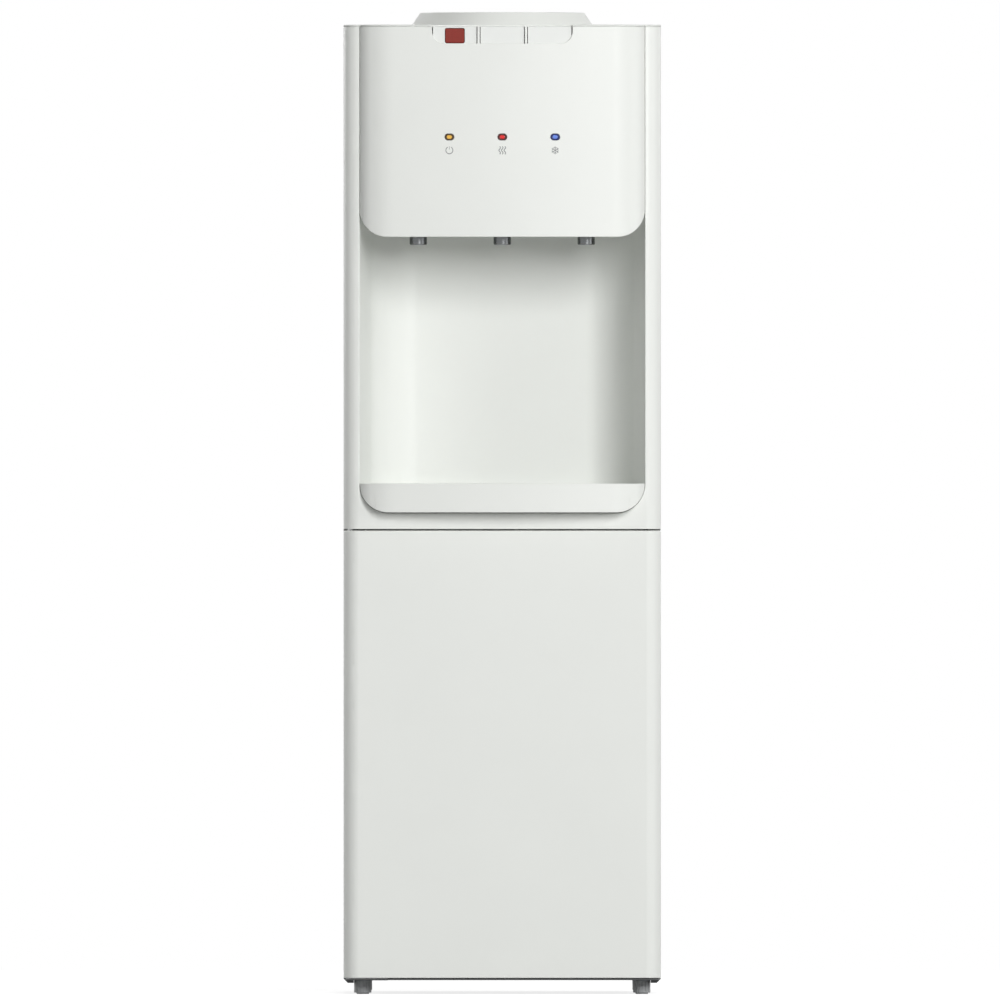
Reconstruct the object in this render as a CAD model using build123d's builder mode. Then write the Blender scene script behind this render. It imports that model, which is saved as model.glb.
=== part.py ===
from build123d import *

import os
from math import cos, radians, sin, sqrt, tan

# A free-standing water dispenser: a bottle stands neck down in the collar on top, three keys on
# the top edge press three taps over an open bay, and a door in the lower half closes a cupboard.
# The floor is Z = 0 and +Z is up. The front faces -Y and +X is to the right seen from the front.
# X = 0 and Y = 0 are the middle of the overall width and depth. All sizes are in millimetres.

os.makedirs("parts", exist_ok=True)

# Cabinet
body_width = 310.0
overall_depth = 326.0
bulge_depth = 22.0  # the fascia and the tray stand this far out before the pillars
condenser_reach = 26.0  # the condenser stands this far out behind the rear panel
corner_radius = 15.0
rear_corner_radius = 3.0
wall = 2.5  # moulded front parts
sheet = 1.0  # side and rear panels
half_width = body_width / 2
front_y = -overall_depth / 2
pillar_y = front_y + bulge_depth
rear_y = overall_depth / 2 - condenser_reach

# Heights, from the floor up
base_z = 13.9
base_sheet = 1.5
base_chamfer = 1.2
door_clearance = 1.1
door_height = 436.4
seam_gap = 1.4
apron_height = 16.2
tray_height = 28.3
bay_height = 240.7  # from the tray's rim to the fascia's lower edge
fascia_height = 205.4
lid_thickness = 1.8
collar_rise = 13.3
base_top = base_z + base_sheet
door_bottom = base_top + door_clearance
door_top = door_bottom + door_height
frame_bottom = door_top + seam_gap
tray_bottom = frame_bottom + apron_height
tray_top = tray_bottom + tray_height
fascia_bottom = tray_top + bay_height
frame_top = fascia_bottom + fascia_height
lid_top = frame_top + lid_thickness
collar_top = lid_top + collar_rise

# Clearances
joint_gap = 0.3  # between two pieces that move past each other
running_gap = 0.05  # radial, round a pin or a rod
seat_gap = 0.3  # between a loose piece and what it rests on
tray_gap = 0.7  # round the tray in its opening
fascia_gap = 1.0  # between the fascia and the pillars

# Upper front frame
frame_depth = 26.0
pillar_width = 15.5
ledge_thickness = 3.0
ledge_width = 9.5
opening_half = half_width - pillar_width
frame_back = pillar_y + frame_depth
fascia_back = frame_back - ledge_thickness

# Bulged front face of the fascia and the tray: a crown, a flank and an edge arc on each side
flank_radius = 52.0
edge_radius = 26.0
crown_angle = 5.5
flank_angle = 26.0
edge_angle = 75.0
fascia_corner = 27.0
tray_corner = 28.0
fascia_half = opening_half - fascia_gap

# Bay for the glass
bay_depth = 115.0
bay_corner = 48.0
bay_draft = 7.7
bay_wall = 2.0
bay_headroom = 22.5  # the ceiling stands this far above the fascia's lower edge
skirt_gap = 0.6
bay_ceiling = fascia_bottom + bay_headroom
bay_back = pillar_y + bay_depth
bay_front = pillar_y + wall + 0.1

# Keys
key_width = 43.1
key_gap = 0.7
key_rib = 1.8
key_recess = 1.9
key_wall = 1.6
key_height = 16.9  # the part of a key that shows under the top edge
key_skirt = 7.0  # hidden below the window, so that a pressed key still fills it
key_depth = 48.0  # from the fascia's crown to the lid
key_corner = 12.0
key_drop = 8.0  # room below a key's skirt for its travel
window_skin = 1.5  # the fascia is thinner round the keys
key_pitch = key_width + 2 * key_gap + key_rib
window_half = key_width / 2 + key_gap
window_bottom = frame_top - key_height
lid_notch_y = front_y + key_depth + 2.0
axle_y = front_y + 79.0
axle_z = frame_top - 8.9
axle_radius = 2.0
lug_radius = 5.0
rail_width = 3.0
rail_height = 12.2

# Child lock button in the hot key
lock_width = 19.1
lock_height = 14.6
lock_corner = 2.0
lock_gap = 0.2
lock_tail_radius = 2.5

# Indicator lights
light_pitch = 51.6
light_width = 9.2
light_height = 6.4
light_z = fascia_bottom + 97.4
board_y = front_y + 13.0
board_half = 68.0
board_height = 34.0
board_sheet = 1.6

# Taps
tap_pitch = 82.0
tap_y = front_y + 43.0
tap_drop = 7.5  # the spouts end this far below the fascia
spout_radius = 8.5
spout_bore = 5.0
tap_radius = 11.0
tap_height = 60.0
shank_radius = 6.0
shank_bore = 3.0
shank_rise = 30.0
rod_radius = 3.0
rod_grip = 12.0  # how deep a rod stands in its tap
web_depth = 8.0
web_height = 6.0
spout_end = fascia_bottom - tap_drop
tap_bottom = bay_ceiling + 16.0
tap_top = tap_bottom + tap_height
shank_z = tap_bottom + shank_rise
web_bottom = axle_z - web_height

# Tap and key brackets
bracket_sheet = 1.5
bracket_offset = 11.0
bracket_top = frame_top - 41.9
shelf_thickness = 3.0
bracket_y = frame_back + bracket_offset
shelf_top = bracket_top + shelf_thickness

# Room in front of the foam block for the hoses, and behind it for the pipes
hose_room = 32.0
pipe_room = 23.0
foam_front_cover = 18.0
foam_back_cover = 28.0
foam_front = bracket_y + hose_room
foam_back = rear_y - pipe_room

# Bottle collar, round the axis of the cold tank
tank_radius = (foam_back - foam_front - foam_front_cover - foam_back_cover) / 2
collar_y = foam_front + foam_front_cover + tank_radius
collar_radius = 89.2
collar_lip_radius = 81.0
collar_wall = 2.5
neck_radius = 31.0
lid_hole_radius = 84.5
probe_radius = 9.0
probe_height = 46.0

# Cold tank in its foam
tank_wall = 0.8
foam_half = tank_radius + foam_back_cover
foam_floor = 16.0
foam_cover = 6.0
foam_height = 153.0
tank_height = foam_height - foam_floor - foam_cover
coil_tube = 4.0
shelf_z = bay_ceiling + 4.5
foam_bottom = shelf_z + bracket_sheet
foam_top = foam_bottom + foam_height
tank_bottom = foam_bottom + foam_floor
tank_top = tank_bottom + tank_height

# Hot tank in its jacket, hung under the shelf
hot_x = -10.0
hot_height = 148.0
jacket_wall = 12.0
jacket_floor = 10.0
jacket_front = bay_back + bay_wall + 14.0
jacket_radius = (foam_back - jacket_front) / 2
hot_y = jacket_front + jacket_radius
hot_radius = jacket_radius - jacket_wall
jacket_top = shelf_z
hot_top = jacket_top - jacket_wall - 2.5
hot_bottom = hot_top - hot_height
jacket_bottom = hot_bottom - jacket_floor

# Cupboard behind the door
cupboard_half = half_width - 21.0
cupboard_wall = 2.0
cupboard_floor = 32.0
cupboard_top = 434.0
step_z = 250.0
cupboard_low_back = rear_y - 143.0
cupboard_high_back = rear_y - 41.0

# Door
door_depth = 24.0
door_wall = 2.2
door_back_radius = 4.0
hinge_inset = 7.0  # from the cabinet's side to the hinge axis
hinge_setback = 14.0  # from the door's face to the hinge axis
pin_radius = 3.0
pin_length = 16.0
door_back = pillar_y + door_depth
hinge_x = -half_width + hinge_inset
hinge_y = pillar_y + hinge_setback

# Levelling feet
foot_inset = 18.7
foot_radius = 8.5
pad_radius = 6.0
pad_height = 1.5
boss_drop = 2.9
boss_length = 28.0
stem_radius = 4.0
foot_x = half_width - foot_inset
foot_front_y = pillar_y + 38.0
foot_back_y = rear_y - foot_inset

# Compressor
can_x = 20.0
can_y = rear_y - 71.0
can_radius = 50.0
can_height = 135.0
mount_height = 12.1
mount_radius = 11.0
mount_dx = 62.0
mount_dy = 32.0
can_bottom = base_top + mount_height + 2.5

# Condenser on the back
condenser_top = 740.0
condenser_runs = 9
condenser_pitch = 54.0
condenser_half = half_width - 45.0
condenser_bend = 20.0
tube_flat = 5.0  # across the flats of the tube's section
wire = 1.6
wire_pitch = 8.0
wire_count = 25
condenser_y = overall_depth / 2 - wire - tube_flat / 2


def block(x0, x1, y0, y1, z0, z1, mode=Mode.ADD):
    """A box between two corners."""
    with Locations(((x0 + x1) / 2, (y0 + y1) / 2, (z0 + z1) / 2)):
        Box(x1 - x0, y1 - y0, z1 - z0, mode=mode)


def post(x, y, z0, z1, radius, mode=Mode.ADD):
    """An upright cylinder."""
    with Locations((x, y, (z0 + z1) / 2)):
        Cylinder(radius, z1 - z0, mode=mode)


def pin_along_x(x0, x1, y, z, radius, mode=Mode.ADD):
    """A cylinder lying from left to right."""
    with Locations(((x0 + x1) / 2, y, z)):
        Cylinder(radius, x1 - x0, rotation=(0, 90, 0), mode=mode)


def pin_along_y(x, y0, y1, z, radius, mode=Mode.ADD):
    """A cylinder lying from front to back."""
    with Locations((x, (y0 + y1) / 2, z)):
        Cylinder(radius, y1 - y0, rotation=(90, 0, 0), mode=mode)


def rounded_plan(z, x0, x1, y0, y1, front_radius=0.0, back_radius=0.0):
    """A rectangle in plan with its two front and its two back corners rounded."""
    with BuildSketch(Plane.XY.offset(z)) as plan:
        with Locations(((x0 + x1) / 2, (y0 + y1) / 2)):
            Rectangle(x1 - x0, y1 - y0)
        if front_radius:
            fillet(plan.vertices().group_by(Axis.Y)[0], front_radius)
        if back_radius:
            fillet(plan.vertices().group_by(Axis.Y)[-1], back_radius)
    return plan.sketch


def front_profile(y, half, z0, z1, lower_radius=0.0):
    """An upright rectangle at depth y, seen from the front, with its lower corners rounded."""
    with BuildSketch(Plane.XZ.offset(-y)) as profile:
        with Locations((0, (z0 + z1) / 2)):
            Rectangle(2 * half, z1 - z0)
        if lower_radius:
            fillet(profile.vertices().group_by(Axis.Y)[0], lower_radius)
    return profile.sketch


# The bulge's arcs turn from the middle outwards, and the crown takes the width that is left
turns = [radians(a) for a in (crown_angle, flank_angle, edge_angle)]
flank_reach = flank_radius * (sin(turns[1]) - sin(turns[0]))
edge_reach = edge_radius * (sin(turns[2]) - sin(turns[1]))
crown_radius = (fascia_half - flank_reach - edge_reach) / sin(turns[0])
crown_centre = Vector(0, front_y + crown_radius)
flank_step = crown_radius - flank_radius
flank_centre = crown_centre + Vector(sin(turns[0]), -cos(turns[0])) * flank_step
edge_step = flank_radius - edge_radius
edge_centre = flank_centre + Vector(sin(turns[1]), -cos(turns[1])) * edge_step
side_arcs = [
    (flank_centre, flank_radius, turns[0], turns[1]),
    (edge_centre, edge_radius, turns[1], turns[2]),
]


def on_arc(centre, radius, angle):
    """The point of an arc at an angle from straight ahead."""
    return (centre.X + radius * sin(angle), centre.Y - radius * cos(angle))


def crown_y(x, inset=0.0):
    """Depth of the bulge's crown at x, inset from its outer face."""
    return crown_centre.Y - sqrt((crown_radius - inset) ** 2 - x**2)


def bulge_half(inset):
    """Half the width of the bulged plan, inset from its outer face."""
    return on_arc(edge_centre, edge_radius - inset, turns[2])[0]


def bulge_plan(z, inset, back):
    """Plan of the bulged front, inset from its outer face and closed straight at depth back."""
    end_x, end_y = on_arc(edge_centre, edge_radius - inset, turns[2])
    crown = [on_arc(crown_centre, crown_radius - inset, a) for a in (-turns[0], 0, turns[0])]
    with BuildSketch(Plane.XY.offset(z)) as plan:
        with BuildLine():
            ThreePointArc(*crown)
            for centre, radius, first, last in side_arcs:
                angles = (first, (first + last) / 2, last)
                arc = [on_arc(centre, radius - inset, a) for a in angles]
                ThreePointArc(*arc)
                ThreePointArc(*[(-x, y) for x, y in arc])
            Polyline((end_x, end_y), (end_x, back), (-end_x, back), (-end_x, end_y))
        make_face()
    return plan.sketch


def bay_plan(z, offset, front):
    """Plan of the bay: drafted sides, round back corners and a flat back, grown by offset."""
    draft = radians(bay_draft)
    centre_y = bay_back - bay_corner
    slant = (centre_y - pillar_y) * sin(draft)
    centre_x = (opening_half * cos(draft) - bay_corner - slant) / cos(draft)
    radius = bay_corner + offset
    touch = (centre_x + radius * cos(draft), centre_y + radius * sin(draft))
    middle = radians(45 + bay_draft / 2)
    turn = (centre_x + radius * cos(middle), centre_y + radius * sin(middle))
    back = (centre_x, centre_y + radius)
    front_x = opening_half + offset / cos(draft) - (front - pillar_y) * tan(draft)
    with BuildSketch(Plane.XY.offset(z)) as plan:
        with BuildLine():
            ThreePointArc(touch, turn, back)
            ThreePointArc(*[(-x, y) for x, y in (touch, turn, back)])
            Line(back, (-back[0], back[1]))
            Polyline(touch, (front_x, front), (-front_x, front), (-touch[0], touch[1]))
        make_face()
    return plan.sketch


def bulged_block(inset, z0, z1, back, lower_radius):
    """A block with the bulged front face and rounded lower corners."""
    with BuildPart() as piece:
        extrude(bulge_plan(z0, inset, back), amount=z1 - z0)
        outline = front_profile(back, bulge_half(inset), z0, z1, lower_radius)
        extrude(outline, amount=back - front_y + 1, mode=Mode.INTERSECT)
    return piece.part


def tray_block(inset, z0, z1, lower_radius):
    """The tray's form: bulged in front, following the bay behind, with rounded lower corners."""
    with BuildPart() as piece:
        extrude(bulge_plan(z0, inset, bay_back), amount=z1 - z0)
        extrude(bay_plan(z0, -fascia_gap - inset, front_y - 5), amount=z1 - z0, mode=Mode.INTERSECT)
        outline = front_profile(bay_back, bulge_half(inset), z0, z1, lower_radius)
        extrude(outline, amount=bay_back - front_y + 1, mode=Mode.INTERSECT)
    return piece.part


def bay_block(offset, z0, z1, front, lower_radius):
    """The bay's form, grown by offset, with rounded lower corners."""
    with BuildPart() as piece:
        extrude(bay_plan(z0, offset, front), amount=z1 - z0)
        outline = front_profile(bay_back + offset, opening_half + offset, z0, z1, lower_radius)
        extrude(outline, amount=bay_back + offset - front + 1, mode=Mode.INTERSECT)
    return piece.part


def pipe(points, bend, radius, sides=0, bore=0.0):
    """A tube along straight runs with round bends, or a many-sided one where sides is given."""
    with BuildPart() as run:
        with BuildLine() as route:
            FilletPolyline(*points, radius=bend)
        start = Plane(route.line @ 0, z_dir=route.line % 0)
        with BuildSketch(start):
            if sides:
                RegularPolygon(radius, sides, major_radius=False)
            else:
                Circle(radius)
            if bore:
                Circle(bore, mode=Mode.SUBTRACT)
        sweep()
    return run.part


# Base pan: a folded steel floor with upstands, and four bosses for the feet
upstand = 29.6
upstand_gap = 0.5
rail_z = cupboard_floor - cupboard_wall
hinge_plate = 1.5
hinge_recess = 0.8
hinge_plate_left = hinge_x - 4.5
hinge_plate_right = hinge_x + 36.0
hinge_plate_front = hinge_y - 6.0
hinge_plate_back = door_back - 1.5
stem_top = base_top + 12.0
with BuildPart() as base_pan:
    floor_plan = rounded_plan(
        base_z, -half_width, half_width, pillar_y, rear_y, corner_radius, rear_corner_radius
    )
    extrude(floor_plan, amount=base_sheet)
    chamfer(base_pan.edges().group_by(Axis.Z)[0], base_chamfer)
    inner = half_width - sheet - upstand_gap
    for side in (1, -1):
        x0, x1 = sorted((side * (inner - base_sheet), side * inner))
        block(x0, x1, frame_back + 6, rear_y - 4, base_z, base_top + upstand)
    block(-inner, inner, rear_y - 4 - base_sheet, rear_y - 4, base_z, base_top + upstand)
    block(-inner, inner, frame_back + 4, frame_back + 4 + base_sheet, base_z, rail_z)
    block(-inner, inner, cupboard_low_back - 4, cupboard_low_back - 4 + base_sheet, base_z, rail_z)
    for side in (1, -1):
        for y in (foot_front_y, foot_back_y):
            inner_x = side * (foot_x + foot_radius + joint_gap)
            outer_x = side * (half_width - base_chamfer)
            with BuildSketch(Plane.XZ.offset(-y - boss_length / 2)):
                with BuildLine():
                    Polyline(
                        (inner_x, base_z + 0.5),
                        (inner_x, base_z - boss_drop),
                        (outer_x - side * boss_drop, base_z - boss_drop),
                        (outer_x, base_z),
                        (outer_x, base_z + 0.5),
                        close=True,
                    )
                make_face()
            extrude(amount=boss_length)
            post(side * foot_x, y, base_z, stem_top + 2, foot_radius)
            post(side * foot_x, y, base_z - 1, stem_top + 3, stem_radius + running_gap, Mode.SUBTRACT)
    pad_y = hinge_plate_back - 3
    block(hinge_plate_right - 15, hinge_plate_right, hinge_plate_front, pad_y, base_z - 0.3, base_z + 0.5)
    block(
        hinge_plate_left - joint_gap,
        hinge_plate_right + joint_gap,
        hinge_plate_front - joint_gap,
        hinge_plate_back + joint_gap,
        base_top - hinge_recess,
        base_top + 1,
        Mode.SUBTRACT,
    )
base_pan.part.label = "base_pan"
export_step(base_pan.part, "parts/base_pan.step")

# Levelling feet: a pad under a disc, on a stem that screws into its boss
for x, y, name in (
    (-foot_x, foot_front_y, "foot_front_left"),
    (foot_x, foot_front_y, "foot_front_right"),
    (-foot_x, foot_back_y, "foot_back_left"),
    (foot_x, foot_back_y, "foot_back_right"),
):
    with BuildPart() as foot:
        post(x, y, 0, pad_height, pad_radius)
        post(x, y, pad_height, base_z - joint_gap, foot_radius)
        post(x, y, base_z - joint_gap, stem_top, stem_radius)
    foot.part.label = name
    export_step(foot.part, f"parts/{name}.step")

# Side panels: folded steel sheets with a flange at the front and at the back
flange = 12.0
for side, name in ((-1, "side_panel_left"), (1, "side_panel_right")):
    with BuildPart() as side_panel:
        x0, x1 = sorted((side * (half_width - sheet), side * half_width))
        block(x0, x1, frame_back, rear_y - sheet, base_top, frame_top)
        x0, x1 = sorted((side * (half_width - flange), side * half_width))
        block(x0, x1, frame_back + cupboard_wall, frame_back + cupboard_wall + sheet, base_top, frame_top)
        block(x0, x1, rear_y - 2 * sheet, rear_y - sheet, base_top, frame_top)
    side_panel.part.label = name
    export_step(side_panel.part, f"parts/{name}.step")

# Rear panel: a sheet with pressed louvres, and holes for what comes out at the back
rear_bottom = 238.0
drain_x = -half_width + 25.0
drain_z = jacket_bottom - 20.0
drain_radius = 6.0
socket_x = -half_width + 30.0
socket_z = rear_bottom + 24.0
socket_width = 27.0
socket_height = 20.0
switch_x = half_width - 83.0
switch_z = frame_top - 90.0
switch_width = 62.0
switch_height = 30.0
switch_body_width = 54.0
switch_body_height = 26.0
louvre_rows = 6
louvre_x = -half_width + 85.0
louvre_width = 70.0
louvre_pitch = 12.0
inlet_x = -half_width + 55.0
outlet_x = half_width - 55.0
condenser_bottom = condenser_top - (condenser_runs - 1) * condenser_pitch
with BuildPart() as rear_panel:
    block(-half_width + 0.5, half_width - 0.5, rear_y - sheet, rear_y, rear_bottom, frame_top)
    for x, z, radius in (
        (drain_x, drain_z, drain_radius + joint_gap),
        (inlet_x, condenser_top, tube_flat),
        (outlet_x, condenser_bottom, tube_flat),
    ):
        pin_along_y(x, rear_y - 3, rear_y + 3, z, radius, Mode.SUBTRACT)
    with BuildSketch(Plane.XZ.offset(-rear_y - 1)):
        with Locations((switch_x, switch_z)):
            Rectangle(switch_body_width, switch_body_height)
        with Locations((socket_x, socket_z)):
            Rectangle(socket_width, socket_height)
    extrude(amount=sheet + 2, mode=Mode.SUBTRACT)
    with BuildSketch(Plane.XZ.offset(-rear_y - 1)):
        with Locations((louvre_x, switch_z)):
            with GridLocations(1, louvre_pitch, 1, louvre_rows):
                SlotOverall(louvre_width, 4)
    extrude(amount=sheet + 2, mode=Mode.SUBTRACT)
rear_panel.part.label = "rear_panel"
export_step(rear_panel.part, "parts/rear_panel.step")

# Upper front frame: two pillars and an apron in one moulding, open behind, with a ledge on each
# pillar that carries the fascia
tray_opening_z = tray_bottom - tray_gap
return_bottom = bay_ceiling + bay_wall + 2
with BuildPart() as front_frame:
    outer_plan = rounded_plan(
        frame_bottom, -half_width, half_width, pillar_y, frame_back, corner_radius
    )
    extrude(outer_plan, amount=frame_top - frame_bottom)
    hollow_plan = rounded_plan(
        frame_bottom + wall,
        -half_width + wall,
        half_width - wall,
        pillar_y + wall,
        frame_back + 1,
        corner_radius - wall,
    )
    extrude(hollow_plan, amount=frame_top - frame_bottom - 2 * wall, mode=Mode.SUBTRACT)
    opening = front_profile(
        frame_back + 1, opening_half, tray_opening_z, frame_top + 1, tray_corner + tray_gap
    )
    extrude(opening, amount=frame_depth + 2, mode=Mode.SUBTRACT)
    for side in (1, -1):
        x0, x1 = sorted((side * opening_half, side * (opening_half + wall)))
        block(x0, x1, pillar_y + wall / 2, frame_back, return_bottom, frame_top)
        x0, x1 = sorted((side * (opening_half - ledge_width), side * opening_half))
        block(x0, x1, fascia_back, frame_back, return_bottom, frame_top)
    post(hinge_x, hinge_y, frame_bottom - 1, frame_bottom + wall + 1, pin_radius + running_gap, Mode.SUBTRACT)
front_frame.part.label = "front_frame"
export_step(front_frame.part, "parts/front_frame.step")

# Bay liner: the curved recess that the glass stands in, with a hole over each tap
taps = ((-tap_pitch, "hot"), (0.0, "room"), (tap_pitch, "cold"))
runner_height = tray_gap - seat_gap
runner_x = opening_half / 2
with BuildPart() as bay_liner:
    outer_corner = tray_corner + tray_gap + bay_wall
    add(bay_block(bay_wall, tray_opening_z - bay_wall, bay_ceiling + bay_wall, bay_front, outer_corner))
    add(bay_block(0, tray_opening_z, bay_ceiling, bay_front - 1, tray_corner + tray_gap), mode=Mode.SUBTRACT)
    for x, name in taps:
        post(x, tap_y, bay_ceiling - 1, bay_ceiling + bay_wall + 1, spout_radius + 0.5, Mode.SUBTRACT)
    for x in (-runner_x, runner_x):
        runner_top = tray_opening_z + runner_height
        block(x - 3, x + 3, bay_front + 2, bay_back - 12, tray_opening_z - bay_wall / 2, runner_top)
bay_liner.part.label = "bay_liner"
export_step(bay_liner.part, "parts/bay_liner.step")

# Fascia: the bulged cover over the taps, with a window for each key and a hole for each light
keys = ((-key_pitch, "hot"), (0.0, "room"), (key_pitch, "cold"))
skirt_back = bay_front - skirt_gap
skirt_top = bay_ceiling + bay_wall + 2
lights = ((-light_pitch, "power"), (0.0, "heating"), (light_pitch, "cooling"))
board_post_x = board_half - 6
board_post_z = board_height / 2 - 5
key_zone = key_pitch + window_half
with BuildPart() as fascia_hollow:
    z0 = fascia_bottom + wall
    z1 = frame_top - wall
    add(bulged_block(wall, z0, z1, fascia_back + 1, fascia_corner - wall))
    block(-half_width, half_width, skirt_back - wall, skirt_back, z0 - 1, skirt_top + wall, Mode.SUBTRACT)
with BuildPart() as window_relief:
    z0 = window_bottom - key_skirt - key_drop
    z1 = window_bottom + key_corner
    extrude(bulge_plan(z0, window_skin, fascia_back), amount=z1 - z0)
    block(-key_zone, key_zone, front_y, fascia_back, z0, z1, Mode.INTERSECT)
with BuildPart() as fascia_panel:
    add(bulged_block(0, fascia_bottom, frame_top, fascia_back, fascia_corner))
    add(fascia_hollow.part, mode=Mode.SUBTRACT)
    add(window_relief.part, mode=Mode.SUBTRACT)
    block(-half_width, half_width, skirt_back, fascia_back + 1, fascia_bottom - 1, skirt_top, Mode.SUBTRACT)
    for x in (-key_pitch / 2, key_pitch / 2):
        y0 = crown_y(x, window_skin / 2)
        block(x - key_rib / 2, x + key_rib / 2, y0, fascia_back, window_bottom - 8, frame_top)
    with BuildSketch(Plane.XZ.offset(-fascia_back - 1)) as windows:
        for x, name in keys:
            with Locations((x, frame_top)):
                Rectangle(2 * window_half, 2 * key_height)
        corners = windows.vertices().group_by(Axis.Y)[0].sort_by(Axis.X)
        fillet([corners[0], corners[-1]], key_corner)
    extrude(amount=fascia_back - front_y + 2, mode=Mode.SUBTRACT)
    with BuildSketch(Plane.XZ.offset(-board_y)):
        for x, name in lights:
            with Locations((x, light_z)):
                SlotOverall(light_width + 0.3, light_height + 0.3)
    extrude(amount=board_y - front_y + 1, mode=Mode.SUBTRACT)
    for x in (-board_post_x, board_post_x):
        for z in (light_z - board_post_z, light_z + board_post_z):
            pin_along_y(x, crown_y(x, wall / 2), board_y, z, 3.0)
fascia_panel.part.label = "fascia_panel"
export_step(fascia_panel.part, "parts/fascia_panel.step")

# Light windows: an oval light pipe for each lamp, with a flange behind the fascia
lamp_height = 1.2
lens_recess = 0.3
with BuildPart() as indicator_lenses:
    for x, name in lights:
        face_y = crown_y(x, lens_recess)
        with BuildSketch(Plane.XZ.offset(-face_y)):
            with Locations((x, light_z)):
                SlotOverall(light_width, light_height)
        extrude(amount=face_y - board_y + lamp_height + 0.2)
        with BuildSketch(Plane.XZ.offset(-crown_y(x, wall) - 0.5)):
            with Locations((x, light_z)):
                SlotOverall(light_width + 3, light_height + 3)
        extrude(amount=-1.5)
indicator_lenses.part.label = "indicator_lenses"
export_step(indicator_lenses.part, "parts/indicator_lenses.step")

# Indicator board on four posts of the fascia, with a lamp behind each lens
with BuildPart() as indicator_board:
    z0 = light_z - board_height / 2
    block(-board_half, board_half, board_y, board_y + board_sheet, z0, z0 + board_height)
    for x, name in lights:
        block(x - 2.5, x + 2.5, board_y - lamp_height, board_y, light_z - 2.5, light_z + 2.5)
    block(-12, 12, board_y + board_sheet, board_y + board_sheet + 7, z0 + 2, z0 + 9)
indicator_board.part.label = "indicator_board"
export_step(indicator_board.part, "parts/indicator_board.step")

# Tap bracket: a folded steel strip, bent back between its two tabs
with BuildPart() as tap_bracket:
    tab_y = frame_back + bracket_sheet / 2
    tab_x = opening_half - 2.5
    with BuildSketch(Plane.XY.offset(tap_bottom - 3)):
        with BuildLine():
            Polyline(
                (-tab_x, tab_y),
                (-tab_x + 19, tab_y),
                (-tab_x + 25, tab_y + bracket_offset),
                (tab_x - 25, tab_y + bracket_offset),
                (tab_x - 19, tab_y),
                (tab_x, tab_y),
            )
        trace(line_width=bracket_sheet)
    extrude(amount=bracket_top - tap_bottom + 3)
    for x, name in taps:
        pin_along_y(x, bracket_y - 3, bracket_y + 5, shank_z, shank_radius + running_gap, Mode.SUBTRACT)
    for x in (-tap_pitch / 2, tap_pitch / 2):
        block(x - 22, x + 22, bracket_y - 3, bracket_y + 5, tap_bottom + 15, bracket_top - 12, Mode.SUBTRACT)
tap_bracket.part.label = "tap_bracket"
export_step(tap_bracket.part, "parts/tap_bracket.step")

# Key bracket: a moulded shelf that guides the push rods and carries the keys' axle in four ears
ear = 2.0
with BuildPart() as key_bracket:
    block(-100, 100, tap_y - 10, axle_y + 6.5, bracket_top, shelf_top)
    outer_ear = key_pitch + key_width / 2 + 0.6 + ear / 2
    for x in (-outer_ear, -key_pitch / 2, key_pitch / 2, outer_ear):
        block(x - ear / 2, x + ear / 2, axle_y - 6, axle_y + lug_radius, shelf_top, axle_z)
        pin_along_x(x - ear / 2, x + ear / 2, axle_y, axle_z, lug_radius)
        pin_along_x(x - ear, x + ear, axle_y, axle_z, axle_radius + running_gap, Mode.SUBTRACT)
    for x, name in taps:
        post(x, tap_y, bracket_top - 1, shelf_top + 1, rod_radius + running_gap, Mode.SUBTRACT)
key_bracket.part.label = "key_bracket"
export_step(key_bracket.part, "parts/key_bracket.step")

# Axle of the keys
with BuildPart() as key_axle:
    pin_along_x(-outer_ear - 3, outer_ear + 3, axle_y, axle_z, axle_radius)
key_axle.part.label = "key_axle"
export_step(key_axle.part, "parts/key_axle.step")

# Keys: a hollow cap in the fascia's window, two rails back to the axle, and a web that presses
# the push rod. The outer keys' webs reach out sideways, because the taps stand further apart.
skirt_bottom = window_bottom - key_skirt
rail_top = frame_top - 1.7
rail_bottom = rail_top - rail_height
cap_back = lid_notch_y - 0.4
lock_z = frame_top - key_wall - lock_gap - lock_height / 2
lock_guide_y = front_y + 13.0


def key_form(x, inset, z0, z1):
    """The solid form of a key's cap round x, or of the hollow inside it."""
    with BuildPart() as form:
        extrude(bulge_plan(z0, key_recess + inset, cap_back - inset), amount=z1 - z0)
        half = key_width / 2 - inset
        block(x - half, x + half, front_y, frame_back + 9, z0, z1, Mode.INTERSECT)
    return form.part


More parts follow.
